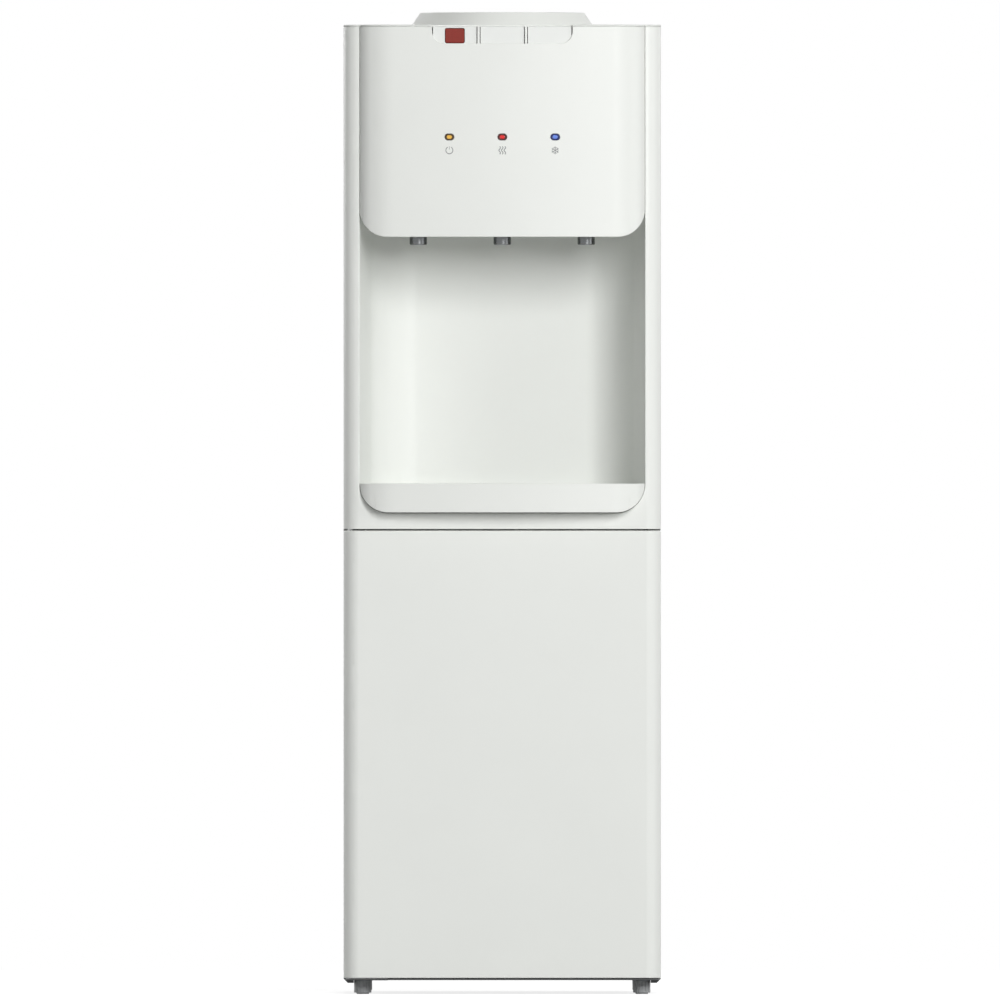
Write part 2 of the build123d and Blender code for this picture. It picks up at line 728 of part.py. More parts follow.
for (x, name), (tap_x, tap_name) in zip(keys, taps):
    left = x - key_width / 2
    right = x + key_width / 2
    with BuildPart() as key:
        add(key_form(x, 0, skirt_bottom, frame_top))
        fillet(key.edges().group_by(Axis.Z)[-1], 1.2)
        add(key_form(x, key_wall, skirt_bottom - 1, frame_top - key_wall), mode=Mode.SUBTRACT)
        block(left - 1, right + 1, front_y + 16, cap_back + 1, skirt_bottom - 1, rail_bottom, Mode.SUBTRACT)
        for x0 in (left, right - rail_width):
            block(x0, x0 + rail_width, front_y + 23, axle_y, rail_bottom, rail_top)
            pin_along_x(x0, x0 + rail_width, axle_y, axle_z, lug_radius)
        block(left, right, cap_back - 3, axle_y - 8, rail_top - key_wall, rail_top)
        web_left = min(left, tap_x - 6)
        web_right = max(right, tap_x + 6)
        block(web_left, web_right, tap_y - web_depth / 2, tap_y + web_depth / 2, web_bottom, axle_z)
        pin_along_x(left - 1, right + 1, axle_y, axle_z, axle_radius + running_gap, Mode.SUBTRACT)
        if name == "hot":
            block(left, right, lock_guide_y, lock_guide_y + 3, skirt_bottom + 4, frame_top - key_wall)
            with BuildSketch(Plane.XZ.offset(-lock_guide_y + 2)):
                with Locations((x, lock_z)):
                    RectangleRounded(lock_width + 2 * lock_gap, lock_height + 2 * lock_gap, lock_corner)
            extrude(amount=lock_guide_y - 2 - front_y, mode=Mode.SUBTRACT)
            guide_bore = lock_tail_radius + running_gap
            pin_along_y(x, lock_guide_y - 1, lock_guide_y + 4, lock_z, guide_bore, Mode.SUBTRACT)
    key.part.label = f"key_{name}"
    export_step(key.part, f"parts/key_{name}.step")

# Child lock: a button with a flange behind the hot key's face and a tail in its guide
lock_x = keys[0][0]
lock_face = crown_y(lock_x, key_recess)
lock_edge = lock_x - lock_width / 2 - 1.5
lock_flange_y = crown_y(lock_edge, key_recess + key_wall) + joint_gap
with BuildPart() as child_lock:
    with BuildSketch(Plane.XZ.offset(-lock_face)):
        with Locations((lock_x, lock_z)):
            RectangleRounded(lock_width, lock_height, lock_corner)
    extrude(amount=-(lock_flange_y + 1 - lock_face))
    block(
        lock_edge,
        2 * lock_x - lock_edge,
        lock_flange_y,
        lock_flange_y + 1.6,
        lock_z - lock_height / 2 - 1.5,
        lock_z + lock_height / 2 - 0.1,
    )
    pin_along_y(lock_x, lock_flange_y, lock_guide_y + 4, lock_z, lock_tail_radius)
child_lock.part.label = "child_lock"
export_step(child_lock.part, "parts/child_lock.step")

# Taps: an upright body with its spout, a shank through the bracket and a nut behind it
for x, name in taps:
    with BuildPart() as tap:
        post(x, tap_y, tap_bottom, tap_top, tap_radius)
        post(x, tap_y, spout_end, tap_bottom, spout_radius)
        pin_along_y(x, tap_y, bracket_y, shank_z, 9.0)
        pin_along_y(x, tap_y, bracket_y + 10, shank_z, shank_radius)
        with BuildSketch(Plane.XZ.offset(-(bracket_y + bracket_sheet + 5))):
            with Locations((x, shank_z)):
                RegularPolygon(8.5, 6, major_radius=False)
        extrude(amount=5)
        post(x, tap_y, spout_end, shank_z - 6, spout_bore, Mode.SUBTRACT)
        post(x, tap_y, tap_top - rod_grip - 6, tap_top, rod_radius + running_gap, Mode.SUBTRACT)
        pin_along_y(x, tap_y + 2, bracket_y + 10, shank_z, shank_bore, Mode.SUBTRACT)
    tap.part.label = f"tap_{name}"
    export_step(tap.part, f"parts/tap_{name}.step")

# Push rods between the keys' webs and the taps, each with a collar for its return spring
rod_top = web_bottom - seat_gap
collar_z = tap_top + 30.0
for x, name in taps:
    with BuildPart() as push_rod:
        post(x, tap_y, tap_top - rod_grip, rod_top, rod_radius)
        post(x, tap_y, collar_z, collar_z + 3, 5.5)
    push_rod.part.label = f"push_rod_{name}"
    export_step(push_rod.part, f"parts/push_rod_{name}.step")

# Return springs, each shown as the sleeve that its coils fill
for x, name in taps:
    with BuildPart() as spring:
        post(x, tap_y, tap_top + 0.2, collar_z - 0.2, 5.2)
        post(x, tap_y, tap_top, collar_z, rod_radius + 0.6, Mode.SUBTRACT)
    spring.part.label = f"return_spring_{name}"
    export_step(spring.part, f"parts/return_spring_{name}.step")

# Lid over the whole top, with a notch for the keys and a hole for the collar
lid_inset = 0.8
lid_edge = 1.4
rim_depth = 8.0
rim_inset = 3.2
with BuildPart() as top_cover:
    lid_plan = rounded_plan(
        frame_top, -half_width, half_width, pillar_y, rear_y, corner_radius, rear_corner_radius
    )
    extrude(lid_plan, amount=lid_thickness)
    extrude(bulge_plan(frame_top, lid_inset, collar_y), amount=lid_thickness)
    fillet(top_cover.faces().sort_by(Axis.Z)[-1].outer_wire().edges(), lid_edge)
    block(-key_zone, key_zone, front_y - 1, lid_notch_y, frame_top - 1, lid_top + 1, Mode.SUBTRACT)
    post(0, collar_y, frame_top - rim_depth, frame_top, lid_hole_radius + 2)
    rim_x = half_width - rim_inset
    for x in (-rim_x, rim_x):
        block(x - 1, x + 1, frame_back + 4, rear_y - 4, frame_top - rim_depth, frame_top)
    block(-rim_x, rim_x, rear_y - 6, rear_y - 4, frame_top - rim_depth, frame_top)
    post(0, collar_y, frame_top - rim_depth - 1, lid_top + 1, lid_hole_radius, Mode.SUBTRACT)
top_cover.part.label = "top_cover"
export_step(top_cover.part, "parts/top_cover.step")

# Bottle collar: a bowl with a conical outside above the lid and a neck below
bowl_radius = collar_lip_radius - 4.0
bowl_floor = bowl_radius - 7.0
spigot_radius = lid_hole_radius - 0.5
neck_top = foam_top + 4.0
neck_bottom = neck_top - 38.0
with BuildPart() as bottle_collar:
    with BuildSketch(Plane.XZ.offset(-collar_y)):
        with BuildLine():
            Polyline(
                (neck_radius, neck_bottom),
                (neck_radius, neck_top),
                (neck_radius + 6, neck_top + 4),
                (bowl_floor, lid_top + 0.5),
                (bowl_radius, collar_top - 2),
                (bowl_radius + 1, collar_top),
                (collar_lip_radius, collar_top),
                (collar_radius, lid_top + 0.3),
                (collar_radius - 1, lid_top),
                (spigot_radius, lid_top),
                (spigot_radius, lid_top - 6),
                (spigot_radius - collar_wall, lid_top - 6),
                (spigot_radius - collar_wall, lid_top + 5),
                (bowl_radius + 2.4, collar_top - 3),
                (bowl_floor + 2.6, lid_top - 0.5),
                (neck_radius + 8, neck_top + 1),
                (neck_radius + collar_wall, neck_top - 2),
                (neck_radius + collar_wall, neck_bottom - 3),
                (neck_radius - 4, neck_bottom - 3),
                (neck_radius - 4, neck_bottom),
                close=True,
            )
        make_face()
    revolve(axis=Axis((0, collar_y, 0), (0, 0, 1)))
bottle_collar.part.label = "bottle_collar"
export_step(bottle_collar.part, "parts/bottle_collar.step")

# Bottle probe: a hollow spike with side ports on a disc that lies in the collar's neck
probe_top = neck_bottom + 3 + probe_height
with BuildPart() as bottle_probe:
    post(0, collar_y, neck_bottom, neck_bottom + 3, neck_radius - 0.5)
    post(0, collar_y, neck_bottom + 3, probe_top, probe_radius)
    chamfer(bottle_probe.edges().group_by(Axis.Z)[-1], 5, 3)
    post(0, collar_y, neck_bottom - 1, probe_top - 6, probe_radius - 2.5, Mode.SUBTRACT)
    for height in (probe_top - 14, neck_bottom + 10):
        block(-probe_radius, probe_radius, collar_y - 2, collar_y + 2, height, height + 6, Mode.SUBTRACT)
        block(-2, 2, collar_y - probe_radius, collar_y + probe_radius, height, height + 6, Mode.SUBTRACT)
    with Locations((0, collar_y, neck_bottom)):
        with PolarLocations(20, 4, start_angle=45):
            Cylinder(3.0, 10, mode=Mode.SUBTRACT)
bottle_probe.part.label = "bottle_probe"
export_step(bottle_probe.part, "parts/bottle_probe.step")

# Shelf under the tanks, hung between the side panels by its two folded edges
feed_x = hot_x
feed_y = hot_y - 22.0
pipe_radius = 4.0
hose_radius = 4.5
hot_hose_x = -half_width + 37.0
suction_radius = 3.5
suction_x = -half_width + 75.0
suction_y = rear_y - 11.0
capillary_radius = 1.6
capillary_y = rear_y - 19.0
coil_pipe_x = 40.0
coil_pipe_end = collar_y + tank_radius - 5.0
shelf_half = half_width - sheet
with BuildPart() as tank_shelf:
    block(-shelf_half, shelf_half, frame_back + 7, rear_y - 4, shelf_z, shelf_z + bracket_sheet)
    for side in (1, -1):
        x0, x1 = sorted((side * (shelf_half - bracket_sheet), side * shelf_half))
        block(x0, x1, frame_back + 7, rear_y - 4, shelf_z - 16, shelf_z)
    for x, y, radius in (
        (feed_x, feed_y, pipe_radius),
        (hot_hose_x, hot_y, hose_radius),
        (suction_x, suction_y, suction_radius),
        (outlet_x, capillary_y, capillary_radius),
    ):
        post(x, y, shelf_z - 1, shelf_z + 3, radius + 2, Mode.SUBTRACT)
tank_shelf.part.label = "tank_shelf"
export_step(tank_shelf.part, "parts/tank_shelf.step")

# Cold tank: an open stainless pot with two outlet pipes to the front
cold_pipe_x = 45.0
with BuildPart() as cold_tank:
    post(0, collar_y, tank_bottom, tank_top, tank_radius)
    for x in (0, cold_pipe_x):
        pin_along_y(x, foam_front, collar_y, shank_z, hose_radius)
    post(0, collar_y, tank_bottom + tank_wall, tank_top + 1, tank_radius - tank_wall, Mode.SUBTRACT)
    for x in (0, cold_pipe_x):
        pin_along_y(x, foam_front - 1, collar_y, shank_z, shank_bore, Mode.SUBTRACT)
cold_tank.part.label = "cold_tank"
export_step(cold_tank.part, "parts/cold_tank.step")

# Evaporator: the sleeve of copper turns round the cold tank
coil_low = tank_bottom + 0.26 * tank_height
coil_high = tank_bottom + 0.76 * tank_height
coil_inner = tank_radius + joint_gap
with BuildPart() as evaporator_coil:
    post(0, collar_y, coil_low, coil_high, coil_inner + coil_tube)
    post(0, collar_y, coil_low - 1, coil_high + 1, coil_inner, Mode.SUBTRACT)
evaporator_coil.part.label = "evaporator_coil"
export_step(evaporator_coil.part, "parts/evaporator_coil.step")

# Foam block round the cold tank, open where the collar's neck goes in
with BuildPart() as tank_foam:
    block(-foam_half, foam_half, foam_front, foam_back, foam_bottom, foam_top)
    cavity = coil_inner + coil_tube + joint_gap
    post(0, collar_y, tank_bottom, tank_top + 0.5, cavity, Mode.SUBTRACT)
    post(0, collar_y, tank_top, foam_top + 1, neck_radius + collar_wall + 1, Mode.SUBTRACT)
    for x in (0, cold_pipe_x):
        pin_along_y(x, foam_front - 1, collar_y, shank_z, hose_radius + joint_gap, Mode.SUBTRACT)
    post(feed_x, feed_y, foam_bottom - 1, tank_bottom + 1, pipe_radius + joint_gap, Mode.SUBTRACT)
    for x, z, radius in (
        (-coil_pipe_x, coil_high - 12, suction_radius),
        (coil_pipe_x, coil_low + 8, capillary_radius),
    ):
        pin_along_y(x, collar_y + tank_radius - 30, foam_back + 1, z, radius + joint_gap, Mode.SUBTRACT)
tank_foam.part.label = "tank_foam"
export_step(tank_foam.part, "parts/tank_foam.step")

# Hot tank: a closed stainless can with a feed pipe on top, an outlet at the side and a drain
with BuildPart() as hot_tank:
    post(hot_x, hot_y, hot_bottom, hot_top, hot_radius)
    post(hot_x, hot_y, hot_bottom + 1, hot_top - 1, hot_radius - 1, Mode.SUBTRACT)
    post(feed_x, feed_y, hot_top - 1, tank_bottom, pipe_radius)
    outlet_end = hot_x - hot_radius - jacket_wall - 2
    pin_along_x(outlet_end, hot_x - hot_radius + 1, hot_y, hot_top - 12, hose_radius)
    post(hot_x, hot_y, jacket_bottom, hot_bottom + 1, drain_radius)
hot_tank.part.label = "hot_tank"
export_step(hot_tank.part, "parts/hot_tank.step")

# Jacket round the hot tank, in contact with the shelf above it
with BuildPart() as tank_jacket:
    post(hot_x, hot_y, jacket_bottom, jacket_top, jacket_radius)
    post(hot_x, hot_y, hot_bottom - joint_gap, hot_top + joint_gap, hot_radius + joint_gap, Mode.SUBTRACT)
    post(feed_x, feed_y, hot_top - 1, jacket_top + 1, pipe_radius + joint_gap, Mode.SUBTRACT)
    post(hot_x, hot_y, jacket_bottom - 1, hot_bottom, drain_radius + joint_gap, Mode.SUBTRACT)
    bore_end = hot_x - hot_radius - jacket_wall - 3
    bore = hose_radius + joint_gap
    pin_along_x(bore_end, hot_x - hot_radius + 1, hot_y, hot_top - 12, bore, Mode.SUBTRACT)
tank_jacket.part.label = "tank_jacket"
export_step(tank_jacket.part, "parts/tank_jacket.step")

# Water hoses from the tanks to the taps' shanks
shank_end = bracket_y + 10
bend_y = foam_front - 10
outlet_z = hot_top - 12
hose_bend = 9.0
with BuildPart() as water_hoses:
    pin_along_y(0, shank_end, foam_front, shank_z, hose_radius)
    cold_route = [
        (tap_pitch, shank_end, shank_z),
        (tap_pitch, bend_y, shank_z),
        (cold_pipe_x, bend_y, shank_z),
        (cold_pipe_x, foam_front, shank_z),
    ]
    add(pipe(cold_route, hose_bend, hose_radius, sides=8))
    hot_route = [
        (-tap_pitch, shank_end, shank_z),
        (-tap_pitch, bend_y, shank_z),
        (hot_hose_x, bend_y, shank_z),
        (hot_hose_x, hot_y, shank_z),
        (hot_hose_x, hot_y, outlet_z),
        (hot_x - hot_radius - jacket_wall - 2, hot_y, outlet_z),
    ]
    add(pipe(hot_route, hose_bend, hose_radius, sides=8))
water_hoses.part.label = "water_hoses"
export_step(water_hoses.part, "parts/water_hoses.step")

# Drain pipe from the hot tank to a threaded end behind the rear panel, and its cap
drain_end = rear_y + 14.0
drain_route = [
    (hot_x, hot_y, jacket_bottom),
    (hot_x, hot_y, drain_z),
    (drain_x, hot_y, drain_z),
    (drain_x, drain_end, drain_z),
]
with BuildPart() as drain_pipe:
    add(pipe(drain_route, 12.0, drain_radius))
    pin_along_y(drain_x, rear_y + 0.2, rear_y + 3, drain_z, 9.0)
    pin_along_y(drain_x, rear_y - 12, drain_end + 1, drain_z, 3.0, Mode.SUBTRACT)
drain_pipe.part.label = "drain_pipe"
export_step(drain_pipe.part, "parts/drain_pipe.step")

with BuildPart() as drain_cap:
    with BuildSketch(Plane.XZ.offset(-(rear_y + 3 + seat_gap))):
        with Locations((drain_x, drain_z)):
            RegularPolygon(9.5, 12)
    extrude(amount=-(drain_end + 4 - rear_y - 3 - seat_gap))
    pin_along_y(drain_x, rear_y + 3, drain_end + 0.5, drain_z, drain_radius + running_gap, Mode.SUBTRACT)
drain_cap.part.label = "drain_cap"
export_step(drain_cap.part, "parts/drain_cap.step")

# Cupboard liner: one moulding that steps over the compressor, with a face frame in front
catch_x = half_width - 43.0
catch_width = 24.0
catch_z = cupboard_top + cupboard_wall + 8
catch_height = 9.0
with BuildPart() as cupboard_liner:
    profile = [
        (frame_back, cupboard_floor - cupboard_wall),
        (cupboard_low_back + cupboard_wall, cupboard_floor - cupboard_wall),
        (cupboard_low_back + cupboard_wall, step_z - cupboard_wall),
        (cupboard_high_back + cupboard_wall, step_z - cupboard_wall),
        (cupboard_high_back + cupboard_wall, cupboard_top + cupboard_wall),
        (frame_back, cupboard_top + cupboard_wall),
    ]
    with BuildSketch(Plane.YZ.offset(-cupboard_half - cupboard_wall)):
        with BuildLine():
            Polyline(*profile, close=True)
        make_face()
    extrude(amount=2 * (cupboard_half + cupboard_wall))
    block(
        -half_width + 1.2,
        half_width - 1.2,
        frame_back,
        frame_back + cupboard_wall,
        base_top + 2.1,
        door_top - 0.4,
    )
    hollow = (-cupboard_half, cupboard_half)
    block(*hollow, frame_back - 1, cupboard_low_back, cupboard_floor, cupboard_top, Mode.SUBTRACT)
    block(*hollow, cupboard_low_back - 1, cupboard_high_back, step_z, cupboard_top, Mode.SUBTRACT)
    block(
        catch_x - catch_width / 2,
        catch_x + catch_width / 2,
        frame_back - 1,
        frame_back + cupboard_wall + 1,
        catch_z - catch_height / 2,
        catch_z + catch_height / 2,
        Mode.SUBTRACT,
    )
cupboard_liner.part.label = "cupboard_liner"
export_step(cupboard_liner.part, "parts/cupboard_liner.step")

# Door skin with its bushes for the hinge pins and a finger scoop in its free edge
scoop_height = 90.0
scoop_z = door_top - 68.0
scoop_depth = 21.0
scoop_y = door_back - 12.0
bush_length = pin_length + 3.0
bush_width = 12.0
liner_y = door_back - cupboard_wall
with BuildPart() as door_hollow:
    hollow_plan = rounded_plan(
        door_bottom + door_wall,
        -half_width + door_wall,
        half_width - door_wall,
        pillar_y + door_wall,
        door_back + 1,
        corner_radius - door_wall,
    )
    extrude(hollow_plan, amount=door_height - 2 * door_wall)
    for z0, z1 in ((door_bottom, door_bottom + bush_length), (door_top - bush_length, door_top)):
        block(-half_width, -half_width + bush_width + 2, pillar_y, liner_y, z0, z1, Mode.SUBTRACT)
    block(
        half_width - scoop_depth - 4,
        half_width,
        pillar_y,
        liner_y,
        scoop_z - scoop_height / 2 - 8,
        scoop_z + scoop_height / 2 + 8,
        Mode.SUBTRACT,
    )
with BuildPart() as scoop:
    block(
        half_width - scoop_depth,
        half_width + 10,
        scoop_y,
        door_back + 10,
        scoop_z - scoop_height / 2,
        scoop_z + scoop_height / 2,
    )
    fillet(scoop.edges().filter_by(Axis.Z).group_by(Axis.X)[0].sort_by(Axis.Y)[0], 6)
with BuildPart() as door_panel:
    door_plan = rounded_plan(
        door_bottom, -half_width, half_width, pillar_y, door_back, corner_radius, door_back_radius
    )
    extrude(door_plan, amount=door_height)
    add(door_hollow.part, mode=Mode.SUBTRACT)
    add(scoop.part, mode=Mode.SUBTRACT)
    for z0, z1 in (
        (door_bottom - 1, door_bottom + pin_length + 0.5),
        (door_top - pin_length - 0.5, door_top + 1),
    ):
        post(hinge_x, hinge_y, z0, z1, pin_radius + running_gap, Mode.SUBTRACT)
door_panel.part.label = "door_panel"
export_step(door_panel.part, "parts/door_panel.step")

# Door liner: the inner skin, with a shallow pan that stiffens it
pan_half = 118.0
pan_depth = 6.0
pan_margin = 34.0
liner_gap = 0.3
with BuildPart() as door_liner:
    liner_half = half_width - door_wall - liner_gap
    z0 = door_bottom + door_wall + liner_gap
    z1 = door_top - door_wall - liner_gap
    liner_plan = rounded_plan(z0, -liner_half, liner_half, liner_y, door_back, 0, 2.0)
    extrude(liner_plan, amount=z1 - z0)
    block(-pan_half, pan_half, liner_y - pan_depth, liner_y, z0 + pan_margin, z1 - pan_margin)
    block(
        -pan_half + cupboard_wall,
        pan_half - cupboard_wall,
        liner_y - pan_depth + cupboard_wall,
        door_back + 1,
        z0 + pan_margin + cupboard_wall,
        z1 - pan_margin - cupboard_wall,
        Mode.SUBTRACT,
    )
    add(scoop.part, mode=Mode.SUBTRACT)
door_liner.part.label = "door_liner"
export_step(door_liner.part, "parts/door_liner.step")

# Hinges: a steel plate with its pin, below in the base and above in the apron
with BuildPart() as hinge_lower:
    z0 = base_top - hinge_recess
    z1 = z0 + hinge_plate
    block(hinge_plate_left, hinge_plate_right, hinge_plate_front, hinge_plate_back, z0, z1)
    post(hinge_x, hinge_y, z0, door_bottom + pin_length, pin_radius)
hinge_lower.part.label = "hinge_lower"
export_step(hinge_lower.part, "parts/hinge_lower.step")

with BuildPart() as hinge_upper:
    z0 = frame_bottom + wall
    block(hinge_x - 3.3, hinge_x + 28, hinge_y - 3.2, frame_back - 3, z0, z0 + 2)
    post(hinge_x, hinge_y, door_top - pin_length, z0 + 2, pin_radius)
hinge_upper.part.label = "hinge_upper"
export_step(hinge_upper.part, "parts/hinge_upper.step")

# Magnetic catch in the cupboard's face frame and its strike on the door
strike_sheet = 1.0
with BuildPart() as door_catch:
    half = catch_width / 2 - joint_gap
    tall = catch_height / 2 - joint_gap
    catch_front = door_back + strike_sheet + 0.4
    block(catch_x - half, catch_x + half, catch_front, frame_back + 14, catch_z - tall, catch_z + tall)
    block(
        catch_x - half - 5,
        catch_x + half + 5,
        frame_back + cupboard_wall,
        frame_back + cupboard_wall + 2,
        catch_z - tall,
        catch_z + tall,
    )
door_catch.part.label = "door_catch"
export_step(door_catch.part, "parts/door_catch.step")

with BuildPart() as catch_strike:
    block(catch_x - 10, catch_x + 10, door_back, door_back + strike_sheet, catch_z - 3.5, catch_z + 3.5)
catch_strike.part.label = "catch_strike"
export_step(catch_strike.part, "parts/catch_strike.step")

# Drip tray: a pan with the same bulged front as the fascia, and posts under the grille
tray_wall = 2.2
grille_thickness = 3.0
grille_recess = 1.3
grille_top = tray_top - grille_recess
grille_bottom = grille_top - grille_thickness
tray_post_x = opening_half - 39.5
tray_posts = [(x, y) for x in (-tray_post_x, tray_post_x) for y in (front_y + 14, bay_back - 45)]
tray_posts += [(0, front_y + 12), (0, bay_back - 10)]
with BuildPart() as drip_tray:
    add(tray_block(0, tray_bottom, tray_top, tray_corner))
    cavity_floor = tray_bottom + wall
    add(tray_block(tray_wall, cavity_floor, tray_top + 1, tray_corner - wall), mode=Mode.SUBTRACT)
    for x, y in tray_posts:
        post(x, y, cavity_floor, grille_bottom - seat_gap, 3.5)
drip_tray.part.label = "drip_tray"
export_step(drip_tray.part, "parts/drip_tray.step")

# Grille over the tray
slot_pitch = 8.0
slot_width = 4.0
slot_length = 56.0
slot_count = 29
grille_rim = 8.0
with BuildPart() as grille_slots:
    z0 = grille_bottom - 1
    z1 = grille_top + 1
    add(tray_block(tray_wall + joint_gap + grille_rim, z0, z1, 0))
    with BuildSketch(Plane.XY.offset(z0)):
        with Locations((0, (front_y + bay_back) / 2)):
            with GridLocations(slot_pitch, slot_length + slot_pitch, slot_count, 2):
                Rectangle(slot_width, slot_length)
    extrude(amount=z1 - z0, mode=Mode.INTERSECT)
with BuildPart() as drip_grille:
    add(tray_block(tray_wall + joint_gap, grille_bottom, grille_top, 0))
    add(grille_slots.part, mode=Mode.SUBTRACT)
drip_grille.part.label = "drip_grille"
export_step(drip_grille.part, "parts/drip_grille.step")

# Switch housing on the back, with two rockers that tilt in it
rocker_pitch = 27.0
rocker_half = 9.0
pivot_y = rear_y - 6.0
bezel_y = rear_y + 2.0
rocker_tilt = 8.0
rockers = ((switch_x - rocker_pitch / 2, "heating"), (switch_x + rocker_pitch / 2, "cooling"))
with BuildPart() as switch_housing:
    block(
        switch_x - switch_width / 2,
        switch_x + switch_width / 2,
        rear_y,
        bezel_y,
        switch_z - switch_height / 2,
        switch_z + switch_height / 2,
    )
    block(
        switch_x - switch_body_width / 2 + 0.2,
        switch_x + switch_body_width / 2 - 0.2,
        rear_y - 16,
        rear_y,
        switch_z - switch_body_height / 2 + 0.2,
        switch_z + switch_body_height / 2 - 0.2,
    )
    for x, name in rockers:
        block(
            x - rocker_half - joint_gap,
            x + rocker_half + joint_gap,
            pivot_y - 4.5,
            bezel_y + 1,
            switch_z - 11.2,
            switch_z + 11.2,
            Mode.SUBTRACT,
        )
        socket_reach = rocker_half + 1.2
        pin_along_x(x - socket_reach, x + socket_reach, pivot_y, switch_z, 1.5 + running_gap, Mode.SUBTRACT)
switch_housing.part.label = "switch_housing"
export_step(switch_housing.part, "parts/switch_housing.step")

for x, name in rockers:
    with BuildPart() as rocker:
        end_plane = Plane(origin=(x - rocker_half, pivot_y, switch_z), x_dir=(0, 1, 0), z_dir=(1, 0, 0))
        with BuildSketch(end_plane):
            with BuildLine():
                Polyline((-3, -6), (9, -9.5), (7.4, 0), (9, 9.5), (-3, 6), close=True)
            make_face()
        extrude(amount=2 * rocker_half)
        pin_along_x(x - rocker_half - 1, x + rocker_half + 1, pivot_y, switch_z, 1.5)
    tilted = rocker.part.rotate(Axis((0, pivot_y, switch_z), (1, 0, 0)), rocker_tilt)
    tilted.label = f"rocker_{name}"
    export_step(tilted, f"parts/rocker_{name}.step")

# Power inlet on the back: a socket with three pins for a mains cord
with BuildPart() as power_inlet:
    for width, height, y0, y1 in (
        (socket_width + 18, socket_height + 4, rear_y, rear_y + 2),
        (socket_width - 0.4, socket_height - 0.4, rear_y - 15, rear_y),
    ):
        block(
            socket_x - width / 2,
            socket_x + width / 2,
            y0,
            y1,
            socket_z - height / 2,
            socket_z + height / 2,
        )
    recess = (rear_y - 13, rear_y + 3, socket_z - 7.5, socket_z + 7.5)
    block(socket_x - 11, socket_x + 11, *recess, Mode.SUBTRACT)
    for x, z in ((-6.5, -2), (0, 2), (6.5, -2)):
        x0 = socket_x + x
        z0 = socket_z + z
        block(x0 - 1, x0 + 1, rear_y - 14, rear_y - 3, z0 - 2, z0 + 2)
power_inlet.part.label = "power_inlet"
export_step(power_inlet.part, "parts/power_inlet.step")

# Compressor: a welded can on a foot plate, with two pipe stubs on its left
stub_end = can_x - can_radius - 14
discharge_z = can_bottom + 105.0
suction_z = can_bottom + 75.0
with BuildPart() as compressor:
    with BuildSketch(Plane.XZ.offset(-can_y)):
        with BuildLine():
            middle = can_bottom + can_height / 2
            Polyline(
                (can_x, can_bottom),
                (can_x + can_radius - 16, can_bottom),
                (can_x + can_radius - 4, can_bottom + 5),
                (can_x + can_radius, can_bottom + 16),
                (can_x + can_radius, middle - 2),
                (can_x + can_radius + 3, middle - 2),
                (can_x + can_radius + 3, middle + 2),
                (can_x + can_radius, middle + 2),
                (can_x + can_radius, can_bottom + can_height - 18),
                (can_x + can_radius - 7, can_bottom + can_height - 6),
                (can_x + can_radius - 22, can_bottom + can_height),
                (can_x, can_bottom + can_height),
                close=True,
            )
        make_face()
    revolve(axis=Axis((can_x, can_y, 0), (0, 0, 1)))
    foot_half_x = mount_dx + 13
    foot_half_y = mount_dy + 10
    foot_plan = (can_x - foot_half_x, can_x + foot_half_x, can_y - foot_half_y, can_y + foot_half_y)
    block(*foot_plan, can_bottom - 2.5, can_bottom)
    pin_along_x(stub_end, can_x - can_radius + 6, can_y, discharge_z, 3.5)
    pin_along_x(stub_end, can_x - can_radius + 6, can_y, suction_z, 4.5)
compressor.part.label = "compressor"
export_step(compressor.part, "parts/compressor.step")

with BuildPart() as compressor_mounts:
    for x in (can_x - mount_dx, can_x + mount_dx):
        for y in (can_y - mount_dy, can_y + mount_dy):
            post(x, y, base_top, base_top + mount_height, mount_radius)
compressor_mounts.part.label = "compressor_mounts"
export_step(compressor_mounts.part, "parts/compressor_mounts.step")

with BuildPart() as relay_cover:
    x0 = can_x + can_radius + joint_gap
    block(x0, x0 + 24, can_y - 20, can_y + 20, can_bottom + 14, can_bottom + 60)
    fillet(relay_cover.edges().filter_by(Axis.Z).group_by(Axis.X)[-1], 4)
relay_cover.part.label = "relay_cover"
export_step(relay_cover.part, "parts/relay_cover.step")

# Condenser: one tube to and fro, with upright wires against both its faces
pipe_end_y = rear_y - 5.0
route = [(inlet_x, pipe_end_y, condenser_top), (inlet_x, condenser_y, condenser_top)]
turn_x = condenser_half
for run in range(condenser_runs - 1):
    z = condenser_top - run * condenser_pitch
    route += [(turn_x, condenser_y, z), (turn_x, condenser_y, z - condenser_pitch)]
    turn_x = -turn_x
route += [(outlet_x, condenser_y, condenser_bottom), (outlet_x, pipe_end_y, condenser_bottom)]
bends = [8.0] + [condenser_bend] * (len(route) - 4) + [8.0]
with BuildPart() as condenser_tube:
    with BuildLine():
        FilletPolyline(*route, radius=bends)
    with BuildSketch(Plane(route[0], x_dir=(1, 0, 0), z_dir=(0, 1, 0))):
        RegularPolygon(tube_flat / 2, 6, major_radius=False, rotation=30)
    sweep()
with BuildPart() as condenser_wires:
    height = condenser_top - condenser_bottom + 24
    for y in (condenser_y - (tube_flat + wire) / 2, condenser_y + (tube_flat + wire) / 2):
        with Locations((0, y, (condenser_top + condenser_bottom) / 2)):
            with GridLocations(wire_pitch, 1, wire_count, 1):
                Box(wire, wire, height)
# The wires only touch the tube, so they stay solids of their own
condenser = Compound(condenser_tube.part.solids() + condenser_wires.part.solids())
condenser.label = "condenser"
export_step(condenser, "parts/condenser.step")

# Clips that hold the condenser off the rear panel
with BuildPart() as condenser_clips:
    for x in (-60, 60):
        for z in (condenser_bottom + condenser_pitch / 2, condenser_top - condenser_pitch / 2):
            block(x - 5, x + 5, rear_y, condenser_y - tube_flat / 2 - wire, z - 3, z + 3)
condenser_clips.part.label = "condenser_clips"
export_step(condenser_clips.part, "parts/condenser_clips.step")

